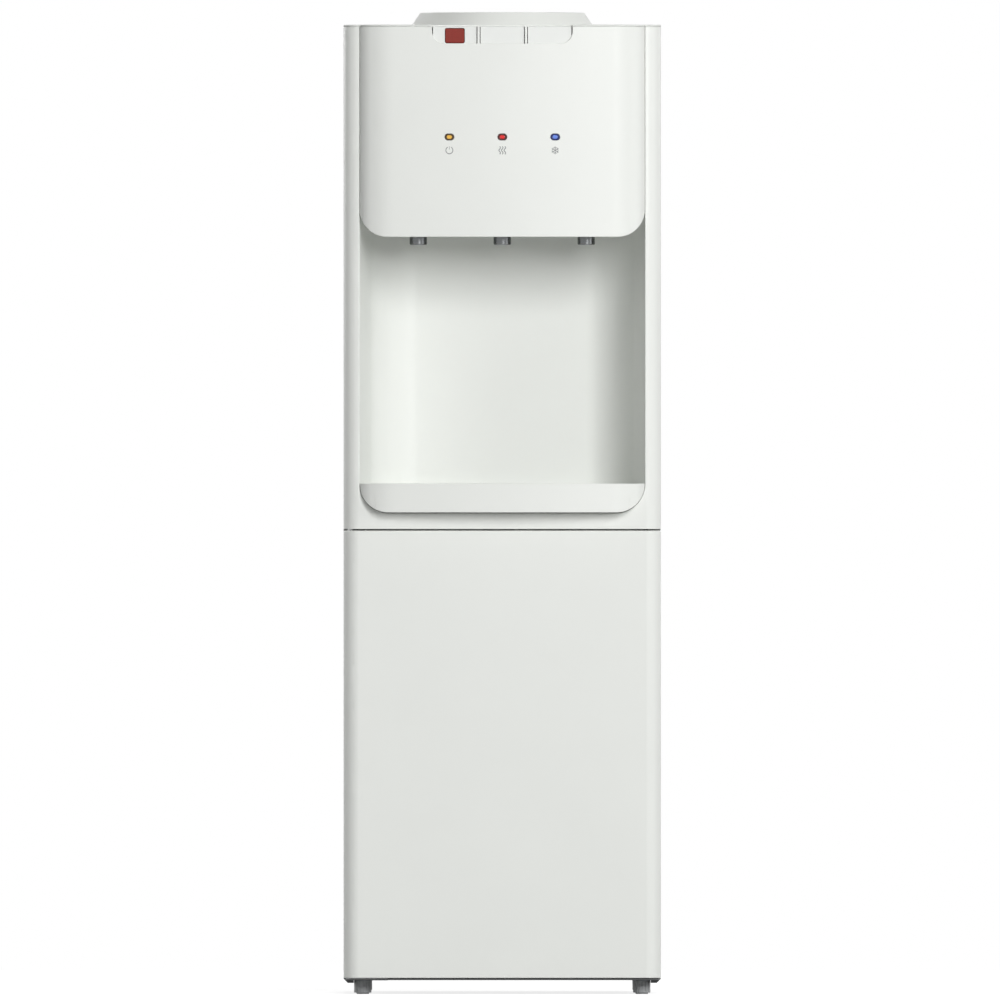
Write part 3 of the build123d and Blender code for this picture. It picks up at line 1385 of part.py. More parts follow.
# Refrigerant pipes: discharge to the condenser, drier and capillary to the coil, suction back
drier_bottom = condenser_bottom + 24
drier_top = drier_bottom + 100
suction_coil_z = coil_high - 12
capillary_coil_z = coil_low + 8
with BuildPart() as refrigerant_pipes:
    discharge = [
        (stub_end, can_y, discharge_z),
        (inlet_x, can_y, discharge_z),
        (inlet_x, rear_y - 18, discharge_z),
        (inlet_x, rear_y - 18, condenser_top),
        (inlet_x, pipe_end_y, condenser_top),
    ]
    add(pipe(discharge, 10.0, 2.6, sides=8))
    suction = [
        (stub_end, can_y, suction_z),
        (suction_x, can_y, suction_z),
        (suction_x, suction_y, suction_z),
        (suction_x, suction_y, suction_coil_z),
        (-coil_pipe_x, suction_y, suction_coil_z),
        (-coil_pipe_x, coil_pipe_end, suction_coil_z),
    ]
    add(pipe(suction, 10.0, suction_radius, sides=8))
    liquid = [
        (outlet_x, pipe_end_y, condenser_bottom),
        (outlet_x, capillary_y, condenser_bottom),
        (outlet_x, capillary_y, drier_bottom + 1),
    ]
    add(pipe(liquid, 8.0, 2.6, sides=8))
    post(outlet_x, capillary_y, drier_bottom, drier_top, 8.0)
    capillary = [
        (outlet_x, capillary_y, drier_top - 1),
        (outlet_x, capillary_y, capillary_coil_z),
        (coil_pipe_x, capillary_y, capillary_coil_z),
        (coil_pipe_x, coil_pipe_end, capillary_coil_z),
    ]
    add(pipe(capillary, 4.0, capillary_radius, sides=6))
refrigerant_pipes.part.label = "refrigerant_pipes"
export_step(refrigerant_pipes.part, "parts/refrigerant_pipes.step")
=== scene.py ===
from math import cos, pi, radians, sin, sqrt

import bmesh
import bpy
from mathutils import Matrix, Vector


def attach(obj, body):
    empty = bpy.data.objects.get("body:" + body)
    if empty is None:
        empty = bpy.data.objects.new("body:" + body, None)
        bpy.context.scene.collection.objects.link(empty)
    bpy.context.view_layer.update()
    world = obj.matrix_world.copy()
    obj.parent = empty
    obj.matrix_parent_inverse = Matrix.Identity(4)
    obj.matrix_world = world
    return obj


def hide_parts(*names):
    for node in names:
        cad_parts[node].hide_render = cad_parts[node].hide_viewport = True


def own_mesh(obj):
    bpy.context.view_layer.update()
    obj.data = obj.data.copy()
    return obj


# A free-standing water dispenser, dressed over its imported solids. Sizes in the code are in
# millimetres and the mesh helpers turn them into metres. The camera, the lamps and the floor
# are placed in metres.

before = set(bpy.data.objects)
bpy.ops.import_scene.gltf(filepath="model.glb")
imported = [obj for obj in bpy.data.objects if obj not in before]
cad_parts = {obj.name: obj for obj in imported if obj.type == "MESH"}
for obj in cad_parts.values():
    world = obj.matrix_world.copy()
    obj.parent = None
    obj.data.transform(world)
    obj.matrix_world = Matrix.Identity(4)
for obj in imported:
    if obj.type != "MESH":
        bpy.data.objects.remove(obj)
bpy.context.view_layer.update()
mm = 0.001

# Cabinet
half_width = 155.0
front_y = -163.0
pillar_y = -141.0
rear_y = 137.0
corner_radius = 15.0
rear_corner_radius = 3.0
wall = 2.5
frame_back = -115.0
fascia_back = -118.0
opening_half = 139.5
opening_radius = 28.7
hinge_x = -148.0
hinge_y = -127.0
pin_bore = 3.05
tap_pitch = 82.0
tap_y = -120.0
neck_y = 16.0

# Heights
door_bottom = 16.1
door_top = 452.9
frame_bottom = 454.3
bay_floor = 469.8
tray_bottom = 470.5
tray_top = 498.8
fascia_bottom = 739.5
bay_ceiling = 762.0
return_bottom = 766.0
frame_top = 944.9
lid_top = 946.7

# The bulge of the fascia and the tray: three arcs on each side of the middle, each given by
# its radius and by how far the face has turned at its outer end
flank_radius = 62.9
edge_radius = 23.42
crown_end = 5.5
flank_end = 26.0
edge_end = 64.0
crown_turn = radians(crown_end)
flank_turn = radians(flank_end)
edge_turn = radians(edge_end)
fascia_half = 139.3
flank_reach = flank_radius * (sin(flank_turn) - sin(crown_turn))
edge_reach = edge_radius * (sin(edge_turn) - sin(flank_turn))
crown_radius = (fascia_half - flank_reach - edge_reach) / sin(crown_turn)
crown_y0 = front_y + crown_radius
flank_x = (crown_radius - flank_radius) * sin(crown_turn)
flank_y = crown_y0 - (crown_radius - flank_radius) * cos(crown_turn)
edge_x = flank_x + (flank_radius - edge_radius) * sin(flank_turn)
edge_y = flank_y - (flank_radius - edge_radius) * cos(flank_turn)


def crown_y(x, inset=0.0):
    """Depth of the bulge's crown at x."""
    return crown_y0 - sqrt((crown_radius - inset) ** 2 - x * x)


def bulge_half(inset):
    """Half the width of the bulge, inset from its outer face."""
    return edge_x + (edge_radius - inset) * sin(edge_turn)


# Working on meshes


def take(piece):
    """Makes one piece the only selected one."""
    if bpy.context.object and bpy.context.object.mode != "OBJECT":
        bpy.ops.object.mode_set(mode="OBJECT")
    bpy.ops.object.select_all(action="DESELECT")
    if piece:
        piece.select_set(True)
        bpy.context.view_layer.objects.active = piece


def settle(name):
    """Names the new primitive and moves its place into its mesh."""
    piece = bpy.context.object
    piece.name = name
    piece.data.name = name
    bpy.ops.object.transform_apply(location=True, rotation=True, scale=True)
    return piece


def block(name, x0, x1, y0, y1, z0, z1):
    """A box between two corners, to be shaped further."""
    take(None)
    middle = ((x0 + x1) / 2 * mm, (y0 + y1) / 2 * mm, (z0 + z1) / 2 * mm)
    bpy.ops.mesh.primitive_cube_add(
        size=1, location=middle, scale=((x1 - x0) * mm, (y1 - y0) * mm, (z1 - z0) * mm)
    )
    return settle(name)


def round_bar(name, middle, length, radius, rotation, sides):
    """A round bar with its middle at a place, upright before it is turned."""
    take(None)
    bpy.ops.mesh.primitive_cylinder_add(
        vertices=sides,
        radius=radius * mm,
        depth=length * mm,
        location=tuple(value * mm for value in middle),
        rotation=rotation,
    )
    return settle(name)


def post(name, x, y, z0, z1, radius, sides=48):
    """An upright round bar."""
    return round_bar(name, (x, y, (z0 + z1) / 2), z1 - z0, radius, (0, 0, 0), sides)


def bar(name, x, z, y0, y1, radius, sides=48):
    """A round bar lying from front to back."""
    return round_bar(name, (x, (y0 + y1) / 2, z), y1 - y0, radius, (pi / 2, 0, 0), sides)


def crossbar(name, y, z, x0, x1, radius, sides=48):
    """A round bar lying from left to right."""
    return round_bar(name, ((x0 + x1) / 2, y, z), x1 - x0, radius, (0, pi / 2, 0), sides)


def edit(piece, kind="FACE"):
    """Opens a piece in edit mode with nothing selected."""
    take(piece)
    bpy.ops.object.mode_set(mode="EDIT")
    bpy.ops.mesh.select_mode(type=kind)
    bpy.ops.mesh.select_all(action="DESELECT")


def close_edit():
    """Goes back to object mode."""
    bpy.ops.object.mode_set(mode="OBJECT")


def keep_selection(piece, form):
    """Hands a selection made in code on to the operators."""
    form.select_flush_mode()
    bmesh.update_edit_mesh(piece.data)


def at(value, place):
    """Whether a coordinate lies at a place, within a hundredth of a millimetre."""
    return abs(value - place) < 0.01


def pick(piece, test, kind="FACE"):
    """Selects the faces, edges or vertices whose corners all pass the test, in millimetres."""
    form = bmesh.from_edit_mesh(piece.data)
    items = {"FACE": form.faces, "EDGE": form.edges, "VERT": form.verts}[kind]
    for item in items:
        corners = [item] if kind == "VERT" else item.verts
        if all(test(*(v.co / mm)) for v in corners):
            item.select_set(True)
    keep_selection(piece, form)


def round_selected(radius, segments):
    """Rounds the selected edges and closes edit mode."""
    bpy.ops.mesh.bevel(offset=radius * mm, offset_type="OFFSET", segments=segments, affect="EDGES")
    close_edit()


def round_edges(piece, test, radius, segments=6):
    """Rounds the edges whose two ends pass the test."""
    edit(piece, "EDGE")
    pick(piece, test, "EDGE")
    round_selected(radius, segments)


def round_along(piece, axis, radius, test=lambda x, y, z: True, segments=8):
    """Rounds the edges that run along an axis and whose middle passes the test."""
    edit(piece, "EDGE")
    form = bmesh.from_edit_mesh(piece.data)
    for edge in form.edges:
        start, end = (v.co / mm for v in edge.verts)
        along = abs((end - start)[axis]) > 0.999 * (end - start).length
        edge.select_set(along and test(*((start + end) / 2)))
    keep_selection(piece, form)
    round_selected(radius, segments)


def round_rim(piece, height, radius, segments=4, test=lambda x, y, z: True):
    """Rounds the edges that lie at a height and pass the test, where two faces meet at an angle."""
    edit(piece, "EDGE")
    form = bmesh.from_edit_mesh(piece.data)
    for edge in form.edges:
        level = all(at(v.co.z / mm, height) and test(*(v.co / mm)) for v in edge.verts)
        edge.select_set(level and len(edge.link_faces) == 2 and edge.calc_face_angle(0) > 0.6)
    keep_selection(piece, form)
    round_selected(radius, segments)


def apply_modifier(piece, kind, **settings):
    """Gives a piece one modifier with its settings, and applies it."""
    take(piece)
    modifier = piece.modifiers.new(kind.lower(), kind)
    for name, value in settings.items():
        setattr(modifier, name, value)
    bpy.ops.object.modifier_apply(modifier=modifier.name)


def repeat(piece, count, dx=0.0, dy=0.0, dz=0.0):
    """Copies a piece in a row within its mesh, each copy one step on from the last."""
    apply_modifier(
        piece,
        "ARRAY",
        count=count,
        use_relative_offset=False,
        use_constant_offset=True,
        constant_offset_displace=(dx * mm, dy * mm, dz * mm),
    )


def combine(piece, tool, how):
    """Adds, cuts or intersects a piece with a tool, which is then deleted."""
    apply_modifier(piece, "BOOLEAN", operation=how, solver="EXACT", object=tool)
    bpy.data.objects.remove(tool)


def carve(piece, *tools):
    """Cuts the tools out of a piece."""
    for tool in tools:
        combine(piece, tool, "DIFFERENCE")
    return piece


def keep_inside(piece, tool):
    """Keeps only what lies inside the tool."""
    combine(piece, tool, "INTERSECT")
    return piece


def weld(piece, *others):
    """Fuses other pieces onto a piece."""
    for other in others:
        combine(piece, other, "UNION")
    return piece


def join(piece, *others):
    """Puts other pieces into the same mesh without fusing them."""
    take(piece)
    for other in others:
        other.select_set(True)
    bpy.context.view_layer.objects.active = piece
    bpy.ops.object.join()
    return piece


def copy_of(piece, name, dx=0.0, dy=0.0, dz=0.0):
    """A copy with its own mesh, moved in its mesh."""
    twin = piece.copy()
    twin.data = piece.data.copy()
    twin.name = name
    twin.data.name = name
    bpy.context.scene.collection.objects.link(twin)
    edit(twin, "VERT")
    bpy.ops.mesh.select_all(action="SELECT")
    bpy.ops.transform.translate(value=(dx * mm, dy * mm, dz * mm))
    close_edit()
    return twin


def clean(piece, gap=0.05):
    """Merges doubled points and joins faces that lie flat beside each other."""
    edit(piece, "VERT")
    bpy.ops.mesh.select_all(action="SELECT")
    bpy.ops.mesh.remove_doubles(threshold=gap * mm)
    bpy.ops.mesh.dissolve_limited(angle_limit=radians(0.2))
    close_edit()


def split_level(piece, z):
    """Draws an edge round a piece at a height, so that its tall faces stay simple."""
    edit(piece)
    bpy.ops.mesh.select_all(action="SELECT")
    bpy.ops.mesh.bisect(plane_co=(0, 0, z * mm), plane_no=(0, 0, 1))
    close_edit()


def smooth(piece, angle=35):
    """Smooths the shading across all edges but the sharp ones, weighted by face area."""
    take(piece)
    bpy.ops.object.shade_smooth_by_angle(angle=radians(angle))
    apply_modifier(piece, "WEIGHTED_NORMAL", keep_sharp=True, weight=50)


def soften(piece, width=0.6, segments=2, angle=40):
    """Breaks all sharp edges and smooths the shading."""
    apply_modifier(
        piece,
        "BEVEL",
        width=width * mm,
        segments=segments,
        limit_method="ANGLE",
        angle_limit=radians(angle),
        use_clamp_overlap=False,
    )
    smooth(piece)
    return piece


def face_outwards(piece):
    """Turns every face to look outwards."""
    edit(piece)
    bpy.ops.mesh.select_all(action="SELECT")
    bpy.ops.mesh.normals_make_consistent(inside=False)
    close_edit()


def rounded_block(name, x0, x1, y0, y1, z0, z1, front_radius=0.0, back_radius=0.0, segments=10):
    """A box with its upright edges rounded."""
    piece = block(name, x0, x1, y0, y1, z0, z1)
    if front_radius:
        round_along(piece, 2, front_radius, lambda x, y, z: at(y, y0), segments)
    if back_radius:
        round_along(piece, 2, back_radius, lambda x, y, z: at(y, y1), segments)
    return piece


def arch(name, half, y0, y1, z0, z1, lower_radius, segments=14):
    """A block whose two lower corners are rounded, seen from the front."""
    piece = block(name, -half, half, y0, y1, z0, z1)
    round_along(piece, 1, lower_radius, lambda x, y, z: at(z, z0), segments)
    return piece


def button(name, x, z, width, height, radius, y0, y1, segments=8):
    """A block with rounded corners, seen from the front."""
    piece = block(name, x - width / 2, x + width / 2, y0, y1, z - height / 2, z + height / 2)
    round_along(piece, 1, radius, segments=segments)
    return piece


def oval(name, x, z, width, height, y0, y1):
    """A block with round ends, seen from the front."""
    piece = button(name, x, z, width, height, height / 2 - 0.01, y0, y1, 10)
    clean(piece, 0.03)
    return piece


def upright_edge(name, x, y, z0, z1):
    """A single upright edge, the start of a strip."""
    take(None)
    height = z1 - z0
    middle = (x * mm, (y + height / 2) * mm, (z0 + z1) / 2 * mm)
    bpy.ops.mesh.primitive_plane_add(size=height * mm, location=middle, rotation=(0, pi / 2, 0))
    piece = settle(name)
    edit(piece, "VERT")
    pick(piece, lambda vx, vy, vz: vy > y + height / 2, "VERT")
    bpy.ops.mesh.delete(type="VERT")
    bpy.ops.mesh.select_all(action="SELECT")
    return piece


def turn_edge(x, y, degrees, steps):
    """Turns the selected edge round an upright axis, leaving a strip behind it."""
    bpy.ops.mesh.spin(steps=steps, angle=radians(degrees), center=(x * mm, y * mm, 0), axis=(0, 0, -1))


def pull(dx, dy, dz=0.0):
    """Pulls what is selected, leaving a straight stretch behind it."""
    bpy.ops.mesh.extrude_region_move(TRANSFORM_OT_translate={"value": (dx * mm, dy * mm, dz * mm)})


def close_strip(piece, end_y, z0, z1):
    """Mirrors a strip to the left and closes its open end, its bottom and its top."""
    close_edit()
    apply_modifier(piece, "MIRROR", use_axis=(True, False, False), merge_threshold=0.01 * mm)
    edit(piece, "EDGE")
    for test in (
        lambda x, y, z: at(y, end_y),
        lambda x, y, z: at(z, z0),
        lambda x, y, z: at(z, z1),
    ):
        bpy.ops.mesh.select_all(action="DESELECT")
        pick(piece, test, "EDGE")
        bpy.ops.mesh.edge_face_add()
    close_edit()
    face_outwards(piece)


def bulged_block(name, inset, back, z0, z1, lower_radius=0.0):
    """A solid with the bulged front: an upright edge turned round the crown, flank and edge."""
    piece = upright_edge(name, 0, front_y + inset, z0, z1)
    turn_edge(0, crown_y0, crown_end, 6)
    turn_edge(flank_x, flank_y, flank_end - crown_end, 8)
    turn_edge(edge_x, edge_y, edge_end - flank_end, 12)
    end_y = edge_y - (edge_radius - inset) * cos(edge_turn)
    pull(0, back - end_y)
    close_strip(piece, back, z0, z1)
    if lower_radius:
        half = bulge_half(inset)
        keep_inside(piece, arch("corners", half, front_y - 5, back + 5, z0, z1 + 5, lower_radius))
    return piece


bay_corner = 48.0
bay_draft = 7.7
bay_back = -26.0


def bay_block(name, offset, z0, z1, front, lower_radius=0.0):
    """A solid with the bay's plan: drafted sides, round back corners and a flat back."""
    draft = radians(bay_draft)
    centre_y = bay_back - bay_corner
    slant = (centre_y - pillar_y) * sin(draft)
    centre_x = (opening_half * cos(draft) - bay_corner - slant) / cos(draft)
    radius = bay_corner + offset
    touch_x = centre_x + radius * cos(draft)
    touch_y = centre_y + radius * sin(draft)
    front_x = opening_half + offset / cos(draft) - (front - pillar_y) * sin(draft) / cos(draft)
    piece = upright_edge(name, front_x, front, z0, z1)
    pull(touch_x - front_x, touch_y - front)
    turn_edge(centre_x, centre_y, 90 - bay_draft, 18)
    pull(-centre_x, 0)
    close_strip(piece, front, z0, z1)
    if lower_radius:
        half = opening_half + offset
        if front < pillar_y:
            half = front_x
        tool = arch("corners", half, front - 5, bay_back + offset + 5, z0, z1 + 5, lower_radius)
        keep_inside(piece, tool)
    return piece


def single_point(name, x, y, z):
    """A single point in edit mode, the start of an outline or a line."""
    take(None)
    bpy.ops.mesh.primitive_plane_add(size=mm, location=(x * mm, y * mm, z * mm))
    piece = settle(name)
    edit(piece, "VERT")
    bpy.ops.mesh.select_all(action="SELECT")
    bpy.ops.mesh.merge(type="CENTER")
    return piece


def turned(name, x, y, outline, steps=64, closed=False):
    """A form turned round an upright axis from an outline of radius and height."""
    radius, height = outline[0]
    piece = single_point(name, x + radius, y, height)
    for (r0, z0), (r1, z1) in zip(outline, outline[1:]):
        pull(r1 - r0, 0, z1 - z0)
    if closed:
        bpy.ops.mesh.select_mode(type="VERT")
        bpy.ops.mesh.select_all(action="DESELECT")
        form = bmesh.from_edit_mesh(piece.data)
        for end in form.verts:
            end.select_set(len(end.link_edges) == 1)
        keep_selection(piece, form)
        bpy.ops.mesh.edge_face_add()
    bpy.ops.mesh.select_all(action="SELECT")
    bpy.ops.mesh.spin(
        steps=steps, angle=2 * pi, center=(x * mm, y * mm, 0), axis=(0, 0, 1), use_auto_merge=True
    )
    bpy.ops.mesh.select_all(action="SELECT")
    bpy.ops.mesh.remove_doubles(threshold=0.005 * mm)
    bpy.ops.mesh.normals_make_consistent(inside=False)
    close_edit()
    return piece


# Colours and finishes


def shade(red, green, blue):
    """A colour given as it looks on screen, as the light values a material needs."""
    values = []
    for level in (red, green, blue):
        level /= 255
        values.append(level / 12.92 if level < 0.04045 else ((level + 0.055) / 1.055) ** 2.4)
    return (*values, 1.0)


finishes = {}


def add_finish(
    name,
    colour,
    roughness,
    mottle=0.006,
    patch=90.0,
    grain=0.5,
    depth=0.01,
    metallic=0.0,
    spread=0.04,
    shine=0.5,
):
    """Adds a finish with slight clouding, uneven gloss and a fine surface grain.

    patch and grain are the sizes of the clouds and of the grain, depth is how deep the grain is.
    """
    material = bpy.data.materials.new(name)
    material.use_nodes = True
    material.diffuse_color = colour
    nodes = material.node_tree.nodes
    links = material.node_tree.links
    shader = nodes["Principled BSDF"]
    shader.inputs["Metallic"].default_value = metallic
    shader.inputs["Specular IOR Level"].default_value = shine
    place = nodes.new("ShaderNodeTexCoord")
    clouds = nodes.new("ShaderNodeTexNoise")
    clouds.inputs["Scale"].default_value = 1 / (patch * mm)
    clouds.inputs["Detail"].default_value = 3.0
    links.new(place.outputs["Object"], clouds.inputs["Vector"])
    thin, thick = 0.3, 0.7
    tint = nodes.new("ShaderNodeValToRGB")
    dark, light = tint.color_ramp.elements
    dark.position = thin
    light.position = thick
    dark.color = (*(c * (1 - mottle) for c in colour[:3]), 1)
    light.color = (*(min(1, c * (1 + mottle)) for c in colour[:3]), 1)
    links.new(clouds.outputs["Fac"], tint.inputs["Fac"])
    links.new(tint.outputs["Color"], shader.inputs["Base Color"])
    gloss = nodes.new("ShaderNodeMapRange")
    gloss.inputs["From Min"].default_value = thin
    gloss.inputs["From Max"].default_value = thick
    gloss.inputs["To Min"].default_value = max(0.02, roughness - spread / 2)
    gloss.inputs["To Max"].default_value = min(1.0, roughness + spread / 2)
    links.new(clouds.outputs["Fac"], gloss.inputs["Value"])
    links.new(gloss.outputs["Result"], shader.inputs["Roughness"])
    fine = nodes.new("ShaderNodeTexNoise")
    fine.inputs["Scale"].default_value = 1 / (grain * mm)
    fine.inputs["Detail"].default_value = 2.0
    links.new(place.outputs["Object"], fine.inputs["Vector"])
    bump = nodes.new("ShaderNodeBump")
    bump.inputs["Strength"].default_value = 0.5
    bump.inputs["Distance"].default_value = depth * mm
    links.new(fine.outputs["Fac"], bump.inputs["Height"])
    links.new(bump.outputs["Normal"], shader.inputs["Normal"])
    finishes[name] = material


add_finish("white_plastic", shade(232, 234, 230), 0.34, grain=0.7, depth=0.006, shine=0.3)
add_finish("lid_plastic", shade(232, 234, 230), 0.62, grain=0.7, shine=0.2)
add_finish("bay_plastic", shade(232, 234, 230), 0.38, grain=0.7, depth=0.008, shine=0.3)
add_finish("cabinet_paint", shade(229, 231, 228), 0.4, grain=1.4, depth=0.02, shine=0.3)
add_finish("liner_plastic", shade(226, 227, 222), 0.5, grain=0.4, depth=0.02)
add_finish("grille_plastic", shade(222, 224, 221), 0.45, grain=0.4, depth=0.02, shine=0.3)
add_finish("key_plastic", shade(233, 235, 232), 0.56, grain=0.7, depth=0.006, shine=0.2)
add_finish("lock_red", shade(136, 47, 38), 0.5, mottle=0.05, patch=4.0, shine=0.2)
add_finish("tap_steel", shade(108, 110, 111), 0.22, mottle=0.03, grain=0.7, depth=0.004, metallic=1.0)
add_finish("base_paint", shade(74, 76, 77), 0.5, mottle=0.05, grain=1.0, depth=0.02)
add_finish("foot_plastic", shade(184, 186, 187), 0.5, mottle=0.05, grain=0.4, depth=0.03)
add_finish("galvanised", shade(178, 181, 183), 0.42, mottle=0.1, patch=9.0, metallic=0.9, spread=0.2)
add_finish("bare_steel", shade(186, 186, 186), 0.3, mottle=0.06, patch=20.0, metallic=1.0)
add_finish("spring_steel", shade(160, 160, 162), 0.28, mottle=0.05, patch=8.0, metallic=1.0)
add_finish("copper", shade(196, 116, 82), 0.3, mottle=0.18, patch=14.0, metallic=1.0, spread=0.2)
add_finish("foam", shade(232, 224, 190), 0.85, mottle=0.05, patch=25.0, grain=2.2, depth=0.5)
add_finish("silicone", shade(214, 214, 206), 0.42, mottle=0.03, patch=20.0)
add_finish("black_plastic", shade(34, 35, 37), 0.45, mottle=0.1, grain=0.4, depth=0.03)
add_finish("rocker_red", shade(158, 28, 24), 0.28, mottle=0.05, patch=10.0)
add_finish("compressor_paint", shade(30, 30, 32), 0.3, mottle=0.15, patch=25.0, grain=1.5, depth=0.05)
add_finish("condenser_paint", shade(28, 28, 30), 0.38, mottle=0.15, patch=15.0, grain=0.8, depth=0.04)
add_finish("board", shade(30, 92, 52), 0.4, mottle=0.08, patch=12.0)
add_finish("print_grey", shade(140, 142, 142), 0.5, mottle=0.04, patch=5.0)
# The rims' dark colours are painted shade: the shadow of the recess and the lens edge round each light.
add_finish("rim_amber", shade(70, 48, 6), 0.2, mottle=0.1, patch=3.0)
add_finish("rim_red", shade(74, 12, 12), 0.2, mottle=0.1, patch=3.0)
add_finish("rim_blue", shade(10, 26, 96), 0.2, mottle=0.1, patch=3.0)
# The lenses' bright colours are a painted glow, standing in for the lit lamp behind each one; they give no
# light.
add_finish("lens_amber", shade(246, 190, 74), 0.18, mottle=0.06, patch=3.0)
add_finish("lens_red", shade(226, 30, 30), 0.18, mottle=0.06, patch=3.0)
add_finish("lens_blue", shade(104, 138, 232), 0.18, mottle=0.06, patch=3.0)
add_finish("rubber", shade(48, 48, 50), 0.7, mottle=0.06, grain=0.6, depth=0.04)


def dress(piece, finish):
    """Gives a whole piece one finish."""
    piece.data.materials.clear()
    piece.data.materials.append(finishes[finish])
    return piece


def fit(piece, body, slot, finish, *nodes):
    """Dresses a finished piece, makes it ride on its body and stand for its nodes."""
    dress(piece, finish)
    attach(piece, body)
    if nodes:
        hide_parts(*nodes)
    return piece


# Camera, light and floor

focal_length = 1475.41
camera_place = (-0.0022, -40.15, 0.4827)


def set_up_view():
    """The photo's view: level, straight from the front and from far away."""
    data = bpy.data.cameras.new("camera")
    data.sensor_width = 36
    data.lens = focal_length
    data.clip_start = 1.0
    data.clip_end = 60.0
    camera = bpy.data.objects.new("camera", data)
    camera.location = camera_place
    camera.rotation_euler = (pi / 2, 0, 0)
    bpy.context.scene.collection.objects.link(camera)
    bpy.context.scene.camera = camera


def add_lamp(name, place, aim, size, power):
    """A rectangular lamp of a width, a height and a power, turned to look at a point."""
    data = bpy.data.lights.new(name, "AREA")
    data.shape = "RECTANGLE"
    data.size, data.size_y = size
    data.energy = power
    lamp = bpy.data.objects.new(name, data)
    lamp.location = place
    direction = Vector(aim) - Vector(place)
    lamp.rotation_euler = direction.to_track_quat("-Z", "Y").to_euler()
    bpy.context.scene.collection.objects.link(lamp)


def seen_directly(nodes, links):
    """One for what the camera sees straight, mirrored or through glass, and nought for light."""
    path = nodes.new("ShaderNodeLightPath")
    either = nodes.new("ShaderNodeMath")
    either.operation = "MAXIMUM"
    links.new(path.outputs["Is Glossy Ray"], either.inputs[0])
    links.new(path.outputs["Is Transmission Ray"], either.inputs[1])
    seen = nodes.new("ShaderNodeMath")
    seen.operation = "MAXIMUM"
    links.new(path.outputs["Is Camera Ray"], seen.inputs[0])
    links.new(either.outputs[0], seen.inputs[1])
    return seen.outputs[0]


def set_up_light():
    """Six softboxes, and a white backdrop that gives little light of its own."""
    add_lamp("softbox_front", (1.6, -5.45, 2.3), (0, 0, 0.5), (1.8, 2.6), 246)
    add_lamp("softbox_right", (5.0, -2.7, 2.1), (0, 0, 0.5), (1.8, 2.85), 56)
    add_lamp("softbox_left", (-4.88, -2.82, 2.55), (0, 0, 0.5), (2.2, 3.0), 10)
    add_lamp("softbox_far_right", (5.2, 4.8, 2.2), (0, 0, 0.5), (1.8, 2.4), 60)
    add_lamp("softbox_far_left", (-5.2, 4.8, 2.2), (0, 0, 0.5), (1.8, 2.4), 190)
    add_lamp("softbox_top", (0, 2.8, 4.2), (0, 0, 0.9), (1.8, 1.8), 34)
    world = bpy.data.worlds.new("studio")
    bpy.context.scene.world = world
    world.use_nodes = True
    nodes = world.node_tree.nodes
    links = world.node_tree.links
    nodes.clear()
    around = nodes.new("ShaderNodeBackground")
    around.inputs["Strength"].default_value = 0.09
    backdrop = nodes.new("ShaderNodeBackground")
    backdrop.inputs["Strength"].default_value = 1.0
    for background in (around, backdrop):
        background.inputs["Color"].default_value = (1, 1, 1, 1)
    mix = nodes.new("ShaderNodeMixShader")
    links.new(seen_directly(nodes, links), mix.inputs[0])
    links.new(around.outputs[0], mix.inputs[1])
    links.new(backdrop.outputs[0], mix.inputs[2])
    out = nodes.new("ShaderNodeOutputWorld")
    links.new(mix.outputs[0], out.inputs["Surface"])


def make_floor():
    """A light floor that takes the shadow and otherwise looks as white as the backdrop."""
    take(None)
    bpy.ops.mesh.primitive_plane_add(size=7, location=(0, -1.6, 0))
    floor = settle("floor")
    material = bpy.data.materials.new("floor_white")
    material.use_nodes = True
    nodes = material.node_tree.nodes
    links = material.node_tree.links
    paint = nodes["Principled BSDF"]
    paint.inputs["Roughness"].default_value = 0.9
    paint.inputs["Specular IOR Level"].default_value = 0.0
    place = nodes.new("ShaderNodeTexCoord")
    clouds = nodes.new("ShaderNodeTexNoise")
    clouds.inputs["Scale"].default_value = 2.0
    links.new(place.outputs["Object"], clouds.inputs["Vector"])
    tint = nodes.new("ShaderNodeValToRGB")
    tint.color_ramp.elements[0].color = (0.49, 0.49, 0.49, 1)
    tint.color_ramp.elements[1].color = (0.51, 0.51, 0.51, 1)
    links.new(clouds.outputs["Fac"], tint.inputs["Fac"])
    links.new(tint.outputs["Color"], paint.inputs["Base Color"])
    lift = nodes.new("ShaderNodeMath")
    lift.operation = "MULTIPLY"
    lift.inputs[1].default_value = 0.8
    links.new(seen_directly(nodes, links), lift.inputs[0])
    glow = nodes.new("ShaderNodeEmission")
    links.new(lift.outputs[0], glow.inputs["Strength"])
    both = nodes.new("ShaderNodeAddShader")
    links.new(paint.outputs[0], both.inputs[0])
    links.new(glow.outputs[0], both.inputs[1])
    links.new(both.outputs[0], nodes["Material Output"].inputs["Surface"])
    floor.data.materials.append(material)


# The dispenser's pieces


